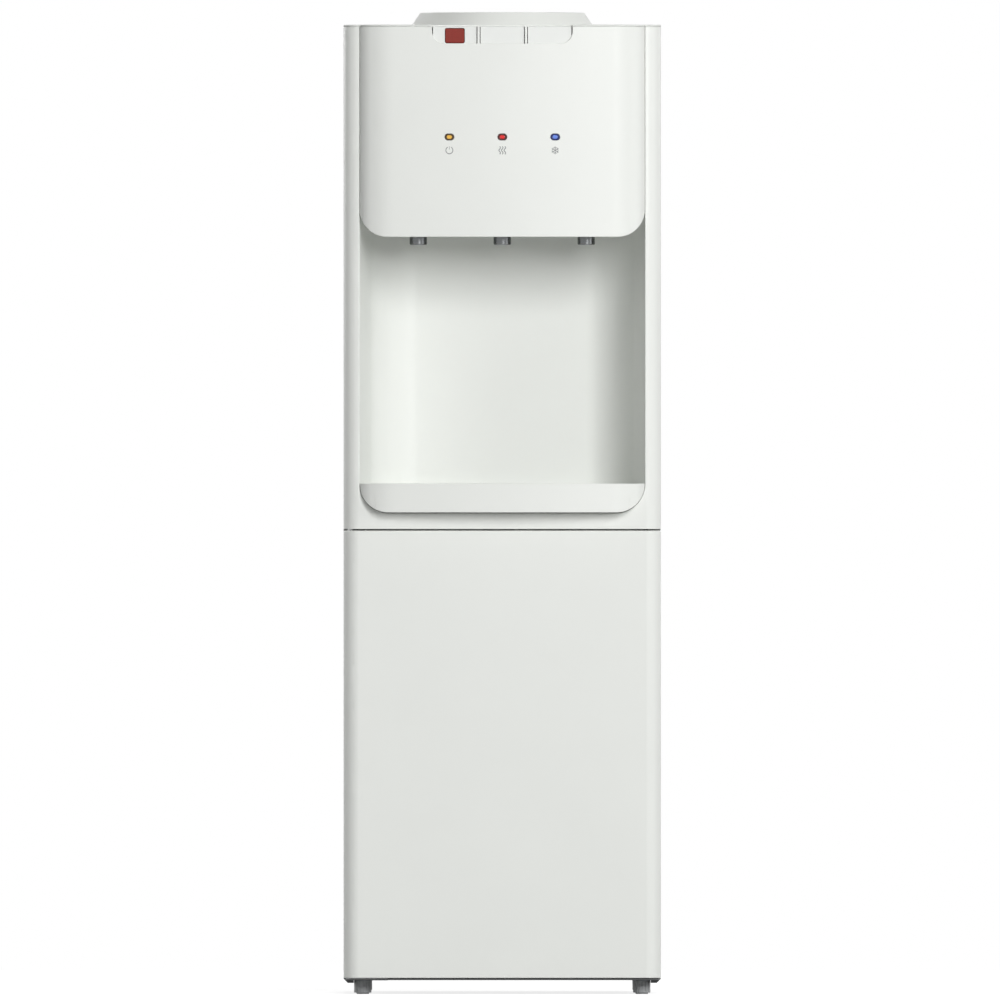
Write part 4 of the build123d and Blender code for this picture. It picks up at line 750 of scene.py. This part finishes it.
def make_front_frame():
    """Two pillars and an apron in one moulding, open behind."""
    shell = rounded_block(
        "upper_frame", -half_width, half_width, pillar_y, frame_back, frame_bottom, frame_top, corner_radius
    )
    hollow = rounded_block(
        "hollow",
        -half_width + wall,
        half_width - wall,
        pillar_y + wall,
        frame_back + 5,
        frame_bottom + wall,
        frame_top - wall,
        corner_radius - wall,
    )
    opening = arch(
        "opening", opening_half, pillar_y - 5, frame_back + 10, bay_floor, frame_top + 5, opening_radius
    )
    carve(shell, hollow, opening)
    carve(shell, post("pin_hole", hinge_x, hinge_y, frame_bottom - 1, frame_bottom + wall + 1, pin_bore, 24))
    clean(shell)
    for height in (tray_top - 0.3, 700.0):
        split_level(shell, height)
    soften(shell, 0.4, 3)
    # Walls that turn back beside the fascia, each with a ledge behind the fascia's edge
    for side in (-1, 1):
        x0, x1 = sorted((side * (opening_half + 0.1), side * (opening_half + wall)))
        returns = block("return_wall", x0, x1, pillar_y + 1, frame_back - 0.1, return_bottom, frame_top - 1)
        x0, x1 = sorted((side * 130, side * (opening_half + 1)))
        ledge = block("ledge", x0, x1, fascia_back, frame_back - 0.2, return_bottom + 0.2, frame_top - 0.9)
        weld(returns, ledge)
        smooth(returns)
        join(shell, returns)
    # A strip that keeps the inside from showing through the seam above the door
    stop = block("door_stop", -134, 138, -116.8, -115.2, 450.6, frame_bottom + 0.6)
    join(shell, soften(stop, 0.3))
    return fit(shell, "cabinet", "front_plastic", "white_plastic", "front_frame")


def make_bay_liner():
    """The curved recess that the glass stands in, with two runners under the tray."""
    skin = 2.0
    liner = bay_block(
        "bay_recess", skin, bay_floor - skin, bay_ceiling + skin, -138.4, opening_radius + skin
    )
    carve(liner, bay_block("hollow", 0, bay_floor, bay_ceiling, -144.0, opening_radius))
    for x in (-tap_pitch, 0, tap_pitch):
        carve(liner, post("spout_hole", x, tap_y, bay_ceiling - 7, bay_ceiling + 8, 9.0, 40))
    for x in (-69.75, 69.75):
        weld(liner, block("runner", x - 3, x + 3, -136.4, -38, bay_floor - 1, bay_floor + 0.4))
    clean(liner)
    soften(liner, 0.5, 2)
    return fit(liner, "cabinet", "front_plastic", "bay_plastic", "bay_liner")


key_pitch = 46.3
key_half = 21.2
key_inset = 1.9
key_wall = 1.6
key_row_half = 68.5
rib_half = 1.2
window_bottom = 928.0
light_pitch = 51.6
light_z = 836.9
light_width = 9.5
light_height = 6.7


def make_fascia():
    """The bulged cover with a window for each key and a hole for each light."""
    low_corner = 27.0
    lip_back = -139.0
    recess_half = key_row_half + 0.05
    cover = bulged_block("fascia", 0.05, fascia_back, fascia_bottom, frame_top, low_corner)
    hollow = bulged_block(
        "hollow", wall, fascia_back + 5, fascia_bottom + wall, frame_top - wall, low_corner - wall
    )
    carve(hollow, block("lip", -160, 160, lip_back - 2.5, lip_back, 735, return_bottom + 2.5))
    relief = bulged_block("relief", 1.5, fascia_back + 5, 913, 940)
    keep_inside(relief, block("zone", -recess_half, recess_half, -170, -110, 910, 950))
    carve(cover, hollow, relief, block("below", -160, 160, lip_back, -100, 730, return_bottom))
    for x in (-key_pitch / 2, key_pitch / 2):
        weld(cover, block("rib", x - rib_half, x + rib_half, crown_y(x, 0.75), fascia_back, 920, frame_top))
    half = key_pitch / 2 - rib_half
    for side, x in ((-1, -key_pitch), (0, 0.0), (1, key_pitch)):
        left, right = x - half, x + half
        if side:
            corner = side * key_row_half
            left, right = sorted((corner, x - side * half))
        window = block("window", left, right, -175, -100, window_bottom, 965)
        if side:
            round_along(window, 1, 12, lambda px, py, pz: at(px, corner) and pz < window_bottom + 2, 12)
        carve(cover, window)
    for x in (-light_pitch, 0, light_pitch):
        carve(cover, oval("light_hole", x, light_z, light_width, light_height, -170, -150))
    for x in (-62, 62):
        for z in (light_z - 12, light_z + 12):
            weld(cover, bar("board_post", x, z, crown_y(x, 1.25), -150, 3.0, 20))
    clean(cover)
    soften(cover, 0.5, 3)
    return fit(cover, "cabinet", "front_plastic", "white_plastic", "fascia_panel")


def make_lights():
    """Three light pipes: each rim is darkened with painted shade, each core brightened with a painted glow.
    """
    width = light_width - 0.3
    height = light_height - 0.3
    core_width = 5.2
    core_height = 3.6
    for x, name in ((-light_pitch, "amber"), (0.0, "red"), (light_pitch, "blue")):
        face = crown_y(x, 0.3)
        inner_face = crown_y(x, wall)
        # The rim's dark colour is painted shade of the recess round the lens.
        rim = oval(f"light_shade_rim_{name}", x, light_z, width, height, face, -151.4)
        weld(rim, oval("flange", x, light_z, width + 3, height + 3, inner_face + 0.5, inner_face + 2))
        carve(rim, oval("dish", x, light_z, core_width, core_height, face - 1, face + 0.9))
        clean(rim)
        soften(rim, 0.25, 2)
        fit(rim, "cabinet", "lens", f"rim_{name}", "indicator_lenses")
        core_face = face + 0.25
        # The core's bright colour is a painted glow of the lit lamp behind it.
        core = oval(f"light_glow_core_{name}", x, light_z, core_width, core_height, core_face, face + 1.0)
        round_edges(core, lambda px, py, pz: at(py, core_face), 0.5, 3)
        smooth(core, 50)
        fit(core, "cabinet", "lens", f"lens_{name}")


def stroke(name, points, width):
    """A printed line of even width through points in the fascia's face."""
    sunk = 0.15
    x, z = points[0]
    line = single_point(name, x, crown_y(x), z)
    for (x0, z0), (x1, z1) in zip(points, points[1:]):
        pull(x1 - x0, crown_y(x1) - crown_y(x0), z1 - z0)
    bpy.ops.mesh.select_all(action="SELECT")
    bpy.ops.transform.translate(value=(0, sunk * mm, 0))
    pull(0, 0.01 - sunk)
    close_edit()
    apply_modifier(line, "SOLIDIFY", thickness=width * mm, offset=0)
    face_outwards(line)
    return line


def arc(x, z, radius, start, end, steps):
    """Points on an arc in the fascia's face, its angles counted from straight up."""
    angles = [radians(start + (end - start) * i / steps) for i in range(steps + 1)]
    return [(x + radius * sin(a), z + radius * cos(a)) for a in angles]


def make_signs():
    """The three signs under the lights: power, heat and cold."""
    z = light_z - 13.0
    x = -light_pitch
    ring = stroke("sign_power", arc(x, z, 3.4, 26, 334, 40), 0.85)
    join(ring, stroke("bar", [(x, z + 3.9), (x, z + 0.8)], 0.5))
    fit(ring, "cabinet", "front_plastic", "print_grey")
    waves = []
    for x in (-2.5, 0.0, 2.5):
        points = [(x + 0.75 * sin(2 * pi * i / 16), z + 3.8 - 7.6 * i / 24) for i in range(25)]
        waves.append(stroke("sign_heat", points, 0.95))
    fit(join(*waves), "cabinet", "front_plastic", "print_grey")
    x = light_pitch
    arms = []
    for turn in range(6):
        a = radians(60 * turn)
        out = (sin(a), cos(a))
        side = (cos(a), -sin(a))
        arms.append(stroke("sign_cold", [(x, z), (x + 3.8 * out[0], z + 3.8 * out[1])], 0.7))
        for way in (-1, 1):
            points = [
                (x + 1.9 * out[0], z + 1.9 * out[1]),
                (x + 3.1 * out[0] + way * 1.3 * side[0], z + 3.1 * out[1] + way * 1.3 * side[1]),
            ]
            arms.append(stroke("fork", points, 0.6))
    fit(join(*arms), "cabinet", "front_plastic", "print_grey")


def make_door():
    """The door's outer skin, with a finger scoop in its free edge."""
    door_back = -117
    skin = 2.2
    scoop_left = 134
    scoop_front = -129
    scoop_bottom = 339.9
    scoop_top = 429.9
    door = rounded_block(
        "door_skin", -half_width, half_width, pillar_y, door_back, door_bottom, door_top, corner_radius, 4
    )
    hollow = rounded_block(
        "hollow",
        -half_width + skin,
        half_width - skin,
        pillar_y + skin,
        door_back + 5,
        door_bottom + skin,
        door_top - skin,
        corner_radius - skin,
    )
    for z0, z1 in ((door_bottom, door_bottom + 19), (door_top - 19, door_top)):
        carve(hollow, block("bush", -156, -141, -142, -119, z0 - 1, z1 + 1))
    carve(hollow, block("scoop_wall", scoop_left - 4, 156, -142, -119, scoop_bottom - 8, scoop_top + 8))
    scoop = block("scoop", scoop_left, 165, scoop_front, -107, scoop_bottom, scoop_top)
    round_along(scoop, 2, 6, lambda x, y, z: x < scoop_left + 1 and y < scoop_front + 1)
    carve(door, hollow, scoop)
    for z0, z1 in ((door_bottom - 1, door_bottom + 16.5), (door_top - 16.5, door_top + 1)):
        carve(door, post("pin_hole", hinge_x, hinge_y, z0, z1, pin_bore, 24))
    clean(door)
    for height, radius in ((door_bottom, 0.5), (door_top, 1.3)):
        round_rim(door, height, radius, 4, lambda x, y, z: (x - hinge_x) ** 2 + (y - hinge_y) ** 2 > 16)
    smooth(door)
    return fit(door, "door", "front_plastic", "white_plastic", "door_panel")


def tray_block(name, inset, z0, z1, lower_radius=0.0):
    """The tray's form: bulged in front, following the bay behind."""
    piece = bulged_block(name, inset, -20, z0, z1, lower_radius)
    keep_inside(piece, bay_block("bay", -0.6 - inset, z0 - 5, z1 + 5, -168.0))
    return piece


def make_tray():
    """The drip tray with the same bulged front as the fascia, and its grille."""
    low_corner = 28
    grille_bottom = 494.5
    tray = tray_block("drip_tray_pan", 0, tray_bottom, tray_top, low_corner)
    carve(tray, tray_block("hollow", 2.2, tray_bottom + wall, tray_top + 5, low_corner - wall))
    for x, y in ((-100, -149), (100, -149), (-100, -71), (100, -71), (0, -151), (0, -36)):
        weld(tray, post("prop", x, y, tray_bottom + wall / 2, grille_bottom - 0.3, 3.5, 20))
    clean(tray)
    soften(tray, 0.5, 3)
    fit(tray, "tray", "front_plastic", "white_plastic", "drip_tray")
    slot_count = 29
    slot_pitch = 8
    slot_half = 2
    slot_front = -154.5
    slot_length = 56
    row_pitch = 64
    first_x = -slot_pitch * (slot_count - 1) / 2
    grille = tray_block("drip_grille_top", 2.5, grille_bottom, 497.5)
    slot = block(
        "slots", first_x - slot_half, first_x + slot_half, slot_front, slot_front + slot_length, 490, 502
    )
    round_along(slot, 2, slot_half - 0.1, segments=4)
    repeat(slot, slot_count, dx=slot_pitch)
    repeat(slot, 2, dy=row_pitch)
    keep_inside(slot, tray_block("limit", 10.5, 480, 510))
    carve(grille, slot)
    clean(grille)
    soften(grille, 0.35, 2)
    fit(grille, "grille", "grille_plastic", "grille_plastic", "drip_grille")


def lid_plate(name, inset, z0, z1):
    """A plate in the plan of the lid, inset from its edge."""
    plate = rounded_block(
        name,
        -half_width + inset,
        half_width - inset,
        pillar_y + inset,
        rear_y - inset,
        z0,
        z1,
        corner_radius - inset,
        rear_corner_radius - inset,
    )
    weld(plate, bulged_block("bulge", 0.8 + inset, -60, z0, z1))
    clean(plate)
    return plate


def make_lid():
    """The lid over the whole top.

    It has a shadow gap below its edge, a notch for the keys and a hole for the collar.
    """
    gap_top = frame_top + 0.5
    lip_bottom = frame_top - 8
    lip_x = 151.8
    hole_radius = 84.5
    notch_half = key_row_half + 0.05
    lid = lid_plate("lid", 0, gap_top, lid_top)
    round_rim(lid, lid_top, 0.9, 5)
    weld(lid, lid_plate("seat", 1.5, frame_top, gap_top + 0.5))
    carve(lid, block("notch", -notch_half, notch_half, -175, -113, 940, 950))
    weld(lid, post("rim", 0, neck_y, lip_bottom, gap_top, hole_radius + 2, 96))
    for x in (-lip_x, lip_x):
        weld(lid, block("lip", x - 1, x + 1, frame_back + 4, rear_y - 4, lip_bottom, gap_top))
    weld(lid, block("lip", -lip_x, lip_x, rear_y - 6, rear_y - 4, lip_bottom, gap_top))
    carve(lid, post("hole", 0, neck_y, 930, 955, hole_radius, 96))
    clean(lid)
    smooth(lid)
    return fit(lid, "cabinet", "front_plastic", "lid_plastic", "top_cover")


def make_collar():
    """The bowl for the bottle's shoulder, with a neck below."""
    outline = [
        (31, 886.9), (31, 925), (32.5, 926.8), (37, 929), (70, 947.2), (77, 958), (77.6, 959.4),
        (78.6, 960), (80, 960), (81, 959.5), (81.4, 958.6), (89.2, 947.2), (89.2, 946.9), (88.2, 946.7),
        (84, 946.7), (84, 940.7), (81.5, 940.7), (81.5, 951.7), (79.4, 957), (72.6, 946.2), (39, 926),
        (33.5, 919), (33.5, 884), (27, 884), (27, 886.9),
    ]
    collar = turned("collar_ring", 0, neck_y, outline, 128, closed=True)
    smooth(collar, 28)
    return fit(collar, "collar", "front_plastic", "white_plastic", "bottle_collar")


axle_y = -84
axle_z = 936
lock_z = 935.8


def make_keys():
    """Three keys; each has two rails back to the axle and a web over its push rod."""
    rail = 3
    cap_back = -113.4
    for side, name in ((-1, "hot"), (0, "room"), (1, "cold")):
        x = side * key_pitch
        tap_x = side * tap_pitch
        left, right = x - key_half, x + key_half
        inner_left, inner_right = left + 0.3, right - 0.3
        cap = bulged_block(f"{name}_key", key_inset, cap_back, 921, frame_top)
        keep_inside(cap, block("sides", left, right, -170, -100, 910, 955))
        round_rim(cap, frame_top, 1.2, 4)
        hollow = bulged_block("hollow", key_inset + key_wall, cap_back - key_wall, 915, frame_top - key_wall)
        keep_inside(hollow, block("sides", left + key_wall, right - key_wall, -170, -100, 905, 950))
        carve(cap, hollow, block("under", left - 1, right + 1, -147, cap_back + 1, 915, 931.2))
        if name == "hot":
            carve(cap, button("lock_window", x, lock_z, 19.5, 15.0, 2.0, -170, -152))
        clean(cap)
        for shift, x0 in ((0.1, left), (-0.1, right - rail)):
            weld(cap, block("rail", x0 + shift, x0 + shift + rail, -140, axle_y - 1, 931, 943.1))
            weld(cap, crossbar("lug", axle_y, axle_z, x0 + 2 * shift, x0 + 2 * shift + rail, 5, 32))
        weld(cap, block("bridge", inner_left, inner_right, -116.4, -92, 941.6, 943.0))
        web_left = min(inner_left, tap_x - 6)
        web_right = max(inner_right, tap_x + 6)
        weld(cap, block("web", web_left, web_right, -124, -116, 930, 936))
        carve(cap, crossbar("bore", axle_y, axle_z, left - 1, right + 1, 2.05, 24))
        if name == "hot":
            weld(cap, block("guide", inner_left, inner_right, -150, -147.2, 925, 943.6))
            carve(cap, bar("bore", x, lock_z, -151, -146, 2.55, 24))
        smooth(cap)
        fit(cap, f"key_{name}", "key_plastic", "key_plastic", f"key_{name}")


def make_child_lock():
    """The red button of the child lock, ribbed for the thumb."""
    x, z = -key_pitch, lock_z
    flange_half = 11.05
    flange_depth = 1.6
    rib_pitch = 2.2
    face = crown_y(x, key_inset)
    flange = crown_y(x - flange_half, key_inset + key_wall) + 0.3
    lock = button("lock_button", x, z, 18.3, 13.8, 1.8, face, flange + 1, 6)
    round_edges(lock, lambda px, py, pz: at(py, face), 0.7, 3)
    for step in range(-3, 4):
        weld(lock, button("rib", x + rib_pitch * step, z, 0.8, 10.6, 0.38, face - 0.35, face + 1, 4))
    weld(lock, block("flange", x - flange_half, x + flange_half, flange, flange + flange_depth, 927, 943))
    weld(lock, bar("tail", x, z, flange + 1, -146, 2.5, 24))
    clean(lock, 0.01)
    smooth(lock)
    return fit(lock, "child_lock", "lock_red", "lock_red", "child_lock")


def make_taps():
    """Three taps: body and spout, a shank through the bracket and a nut behind it."""
    arm_z = 808
    for side, name in ((-1, "hot"), (0, "room"), (1, "cold")):
        x = side * tap_pitch
        outline = [
            (5, 802), (5, 733), (5.6, 732), (7.9, 732), (8.5, 732.8), (8.5, 777), (9.5, 778), (10.4, 778),
            (11, 778.6), (11, 837.4), (10.4, 838), (3.05, 838), (3.05, 820),
        ]
        tap = turned(f"{name}_tap", x, tap_y, outline, 48, closed=True)
        arm = bar("arm", x, arm_z, -114.2, -104, 9, 48)
        weld(arm, bar("shank", x, arm_z, -105, -94, 6, 32))
        nut = bar("nut", x, arm_z, -102.5, -97.5, 9.8, 6)
        round_edges(nut, lambda px, py, pz: True, 0.5, 2)
        weld(tap, weld(arm, nut))
        clean(tap, 0.01)
        smooth(tap, 40)
        fit(tap, "cabinet", "tap_plastic", "tap_steel", f"tap_{name}")


def make_feet():
    """Four levelling feet: a pad under a knurled disc, on a threaded stem."""
    disc_sides = 48
    foot_x = 136.3
    front_foot_y = -103.0
    back_foot_y = 118.3
    for node, x, y in (
        ("front_left", -foot_x, front_foot_y),
        ("front_right", foot_x, front_foot_y),
        ("back_left", -foot_x, back_foot_y),
        ("back_right", foot_x, back_foot_y),
    ):
        outline = [
            (0.0, 0.0), (5.9, 0), (6.2, 0.3), (6.2, 1.3), (8, 1.3), (8.5, 1.8), (8.5, 13.1), (8, 13.6),
            (4, 13.6),
        ]
        for turn in range(9):
            z = 14.2 + 1.4 * turn
            outline += [(3.45, z), (4, z + 0.7)]
        outline += [(3.4, 27.4), (0.0, 27.4)]
        foot = turned(f"levelling_foot_{node}", x, y, outline, disc_sides)
        edit(foot)
        form = bmesh.from_edit_mesh(foot.data)
        form.normal_update()
        for face in form.faces:
            middle = face.calc_center_median() / mm
            outward = Vector((middle.x - x, middle.y - y))
            place = round(disc_sides * outward.angle_signed(Vector((1, 0)), 0) / (2 * pi) - 0.5)
            face.select_set(abs(face.normal.z) < 0.1 and 3 < middle.z < 12 and place % 3 == 0)
        bmesh.update_edit_mesh(foot.data)
        bpy.ops.mesh.inset(thickness=0.15 * mm, use_individual=True)
        bpy.ops.mesh.extrude_region_shrink_fatten(TRANSFORM_OT_shrink_fatten={"value": -0.6 * mm})
        close_edit()
        smooth(foot, 40)
        fit(foot, f"foot_{node}", "foot_plastic", "foot_plastic", f"foot_{node}")


def start_tube(name, x, y, z, radius):
    """A round face in edit mode, the start of a tube that runs backwards."""
    take(None)
    bpy.ops.mesh.primitive_circle_add(
        vertices=14,
        radius=radius * mm,
        fill_type="NGON",
        location=(x * mm, y * mm, z * mm),
        rotation=(pi / 2, 0, 0),
    )
    tube = settle(name)
    edit(tube)
    bpy.ops.mesh.select_all(action="SELECT")
    return tube


def bend(x, y, z, axis, degrees):
    """Turns what is selected round a point, leaving a bend behind it."""
    bpy.ops.mesh.spin(steps=8, angle=radians(degrees), center=(x * mm, y * mm, z * mm), axis=axis)


def make_condenser():
    """One tube to and fro on the back, with upright wires against both its faces."""
    y = 158.9
    inner_y = 132
    tube_radius = 2.5
    entry_bend = 8
    half_pass = 90.0
    pass_bend = 20
    drop = 14
    end_x = half_pass + 2
    x, z, way = -end_x, 740.0, 1
    tube = start_tube("condenser_tube", x - entry_bend, inner_y, z, tube_radius)
    pull(0, y - entry_bend - inner_y)
    bend(x, y - entry_bend, z, (0, 0, 1), 90)
    for _ in range(8):
        end = way * half_pass
        pull(end - x, 0)
        bend(end, y, z - pass_bend, (0, way, 0), -90)
        pull(0, 0, -drop)
        bend(end, y, z - pass_bend - drop, (0, way, 0), -90)
        x, way, z = end, -way, z - 2 * pass_bend - drop
    pull(end_x - x, 0)
    bend(end_x, y - entry_bend, z, (0, 0, 1), 90)
    pull(0, inner_y - (y - entry_bend))
    close_edit()
    face_outwards(tube)
    smooth(tube, 40)
    fit(tube, "cabinet", "condenser_paint", "condenser_paint", "condenser")
    wire_radius = 0.8
    wires_bottom = 296
    wires_top = 752
    away = tube_radius + wire_radius
    for side, depth in (("inner", y - away), ("outer", y + away)):
        wires = post(f"condenser_wires_{side}", -96, depth, wires_bottom, wires_top, wire_radius, 10)
        round_rim(wires, wires_bottom, 0.25, 2)
        round_rim(wires, wires_top, 0.25, 2)
        repeat(wires, 25, dx=8)
        smooth(wires, 40)
        fit(wires, "cabinet", "condenser_paint", "condenser_paint")


def make_springs():
    """Return springs under the push rods' collars, wound from round wire."""
    take(None)
    wire_radius = 0.5
    coil_radius = 4.5
    turns = 9
    length = 28.4
    smoothness = 200
    first_z = 838.3 + wire_radius
    bpy.ops.mesh.primitive_circle_add(
        vertices=10,
        radius=wire_radius * mm,
        location=(coil_radius * mm, 0, first_z * mm),
        rotation=(pi / 2, 0, 0),
    )
    first = settle("hot_spring")
    apply_modifier(
        first,
        "SCREW",
        angle=2 * pi * turns,
        screw_offset=length * mm,
        iterations=1,
        steps=smoothness,
        render_steps=smoothness,
    )
    edit(first, "VERT")
    bpy.ops.mesh.select_all(action="SELECT")
    bpy.ops.mesh.remove_doubles(threshold=0.001 * mm)
    bpy.ops.mesh.select_all(action="DESELECT")
    bpy.ops.mesh.select_non_manifold()
    bpy.ops.mesh.edge_face_add()
    bpy.ops.mesh.select_all(action="SELECT")
    bpy.ops.transform.translate(value=(-tap_pitch * mm, tap_y * mm, 0))
    close_edit()
    face_outwards(first)
    springs = [
        first,
        copy_of(first, "room_spring", dx=tap_pitch),
        copy_of(first, "cold_spring", dx=2 * tap_pitch),
    ]
    for spring, name in zip(springs, ("hot", "room", "cold")):
        smooth(spring, 60)
        fit(spring, "cabinet", "spring_steel", "spring_steel", f"return_spring_{name}")
        # The spring stands at 838.3 and keeps 0.891 of its length when its rod is pressed down
        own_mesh(spring)


def make_screw(name, x, y, z):
    """A domed screw head on the back, with a crossed recess."""
    head = bar(name, x, z, y - 0.6, y + 1.7, 3.4, 28)
    round_edges(head, lambda px, py, pz: py > y + 1.6, 1.3, 4)
    for half_x, half_z in ((1.8, 0.35), (0.35, 1.8)):
        carve(head, block("recess", x - half_x, x + half_x, y + 0.9, y + 3, z - half_z, z + half_z))
    smooth(head)
    return head


def make_rear_details():
    """Screws and louvre hoods on the rear panel."""
    places = [(x, z) for x in (-148, 148) for z in (252, 480, 710, 936)] + [(-50, 936), (50, 936), (0, 246)]
    first_x, first_z = places[0]
    first = make_screw("rear_screws", first_x, rear_y, first_z)
    others = [copy_of(first, "screw", x - first_x, 0, z - first_z) for x, z in places[1:]]
    join(first, *others)
    fit(first, "cabinet", "rear_steel", "bare_steel")
    hood_x = -70
    stretch = 33
    hood_out = rear_y + 3.2
    hood = bar("louvre_hoods", hood_x, 826.9, rear_y - 0.5, hood_out, 3.5, 20)
    edit(hood, "VERT")
    pick(hood, lambda x, y, z: x > hood_x, "VERT")
    bpy.ops.transform.translate(value=(stretch * mm, 0, 0))
    bpy.ops.mesh.select_all(action="DESELECT")
    pick(hood, lambda x, y, z: x < hood_x, "VERT")
    bpy.ops.transform.translate(value=(-stretch * mm, 0, 0))
    close_edit()
    round_edges(hood, lambda x, y, z: y > hood_out - 0.1, 1.6, 4)
    carve(hood, block("mouth", hood_x - 34, hood_x + 34, rear_y - 2, rear_y + 2.2, 820, 826.5))
    clean(hood)
    repeat(hood, 6, dz=12)
    smooth(hood)
    fit(hood, "cabinet", "rear_steel", "galvanised")


def dress_nodes():
    """Finishes for the nodes that keep their own shape."""
    plain = {
        "base_paint": ["base_pan"],
        "cabinet_paint": ["side_panel_left", "side_panel_right"],
        "galvanised": ["rear_panel", "tap_bracket", "tank_shelf"],
        "board": ["indicator_board"],
        "black_plastic": [
            "key_bracket", "drain_cap", "door_catch", "switch_housing", "power_inlet", "relay_cover",
            "condenser_clips",
        ],
        "bare_steel": ["key_axle", "cold_tank", "hot_tank", "hinge_lower", "hinge_upper", "catch_strike"],
        "liner_plastic": [
            "push_rod_hot", "push_rod_room", "push_rod_cold", "bottle_probe", "drain_pipe",
            "cupboard_liner", "door_liner",
        ],
        "copper": ["evaporator_coil", "refrigerant_pipes"],
        "foam": ["tank_foam", "tank_jacket"],
        "silicone": ["water_hoses"],
        "rocker_red": ["rocker_heating", "rocker_cooling"],
        "compressor_paint": ["compressor"],
        "rubber": ["compressor_mounts"],
    }
    for finish, names in plain.items():
        for name in names:
            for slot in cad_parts[name].material_slots:
                slot.material = finishes[finish]


set_up_view()
set_up_light()
make_floor()
dress_nodes()
make_front_frame()
make_bay_liner()
make_fascia()
make_lights()
make_signs()
make_door()
make_tray()
make_lid()
make_collar()
make_keys()
make_child_lock()
make_taps()
make_feet()
make_condenser()
make_springs()
make_rear_details()

bpy.context.scene.view_settings.view_transform = "Standard"
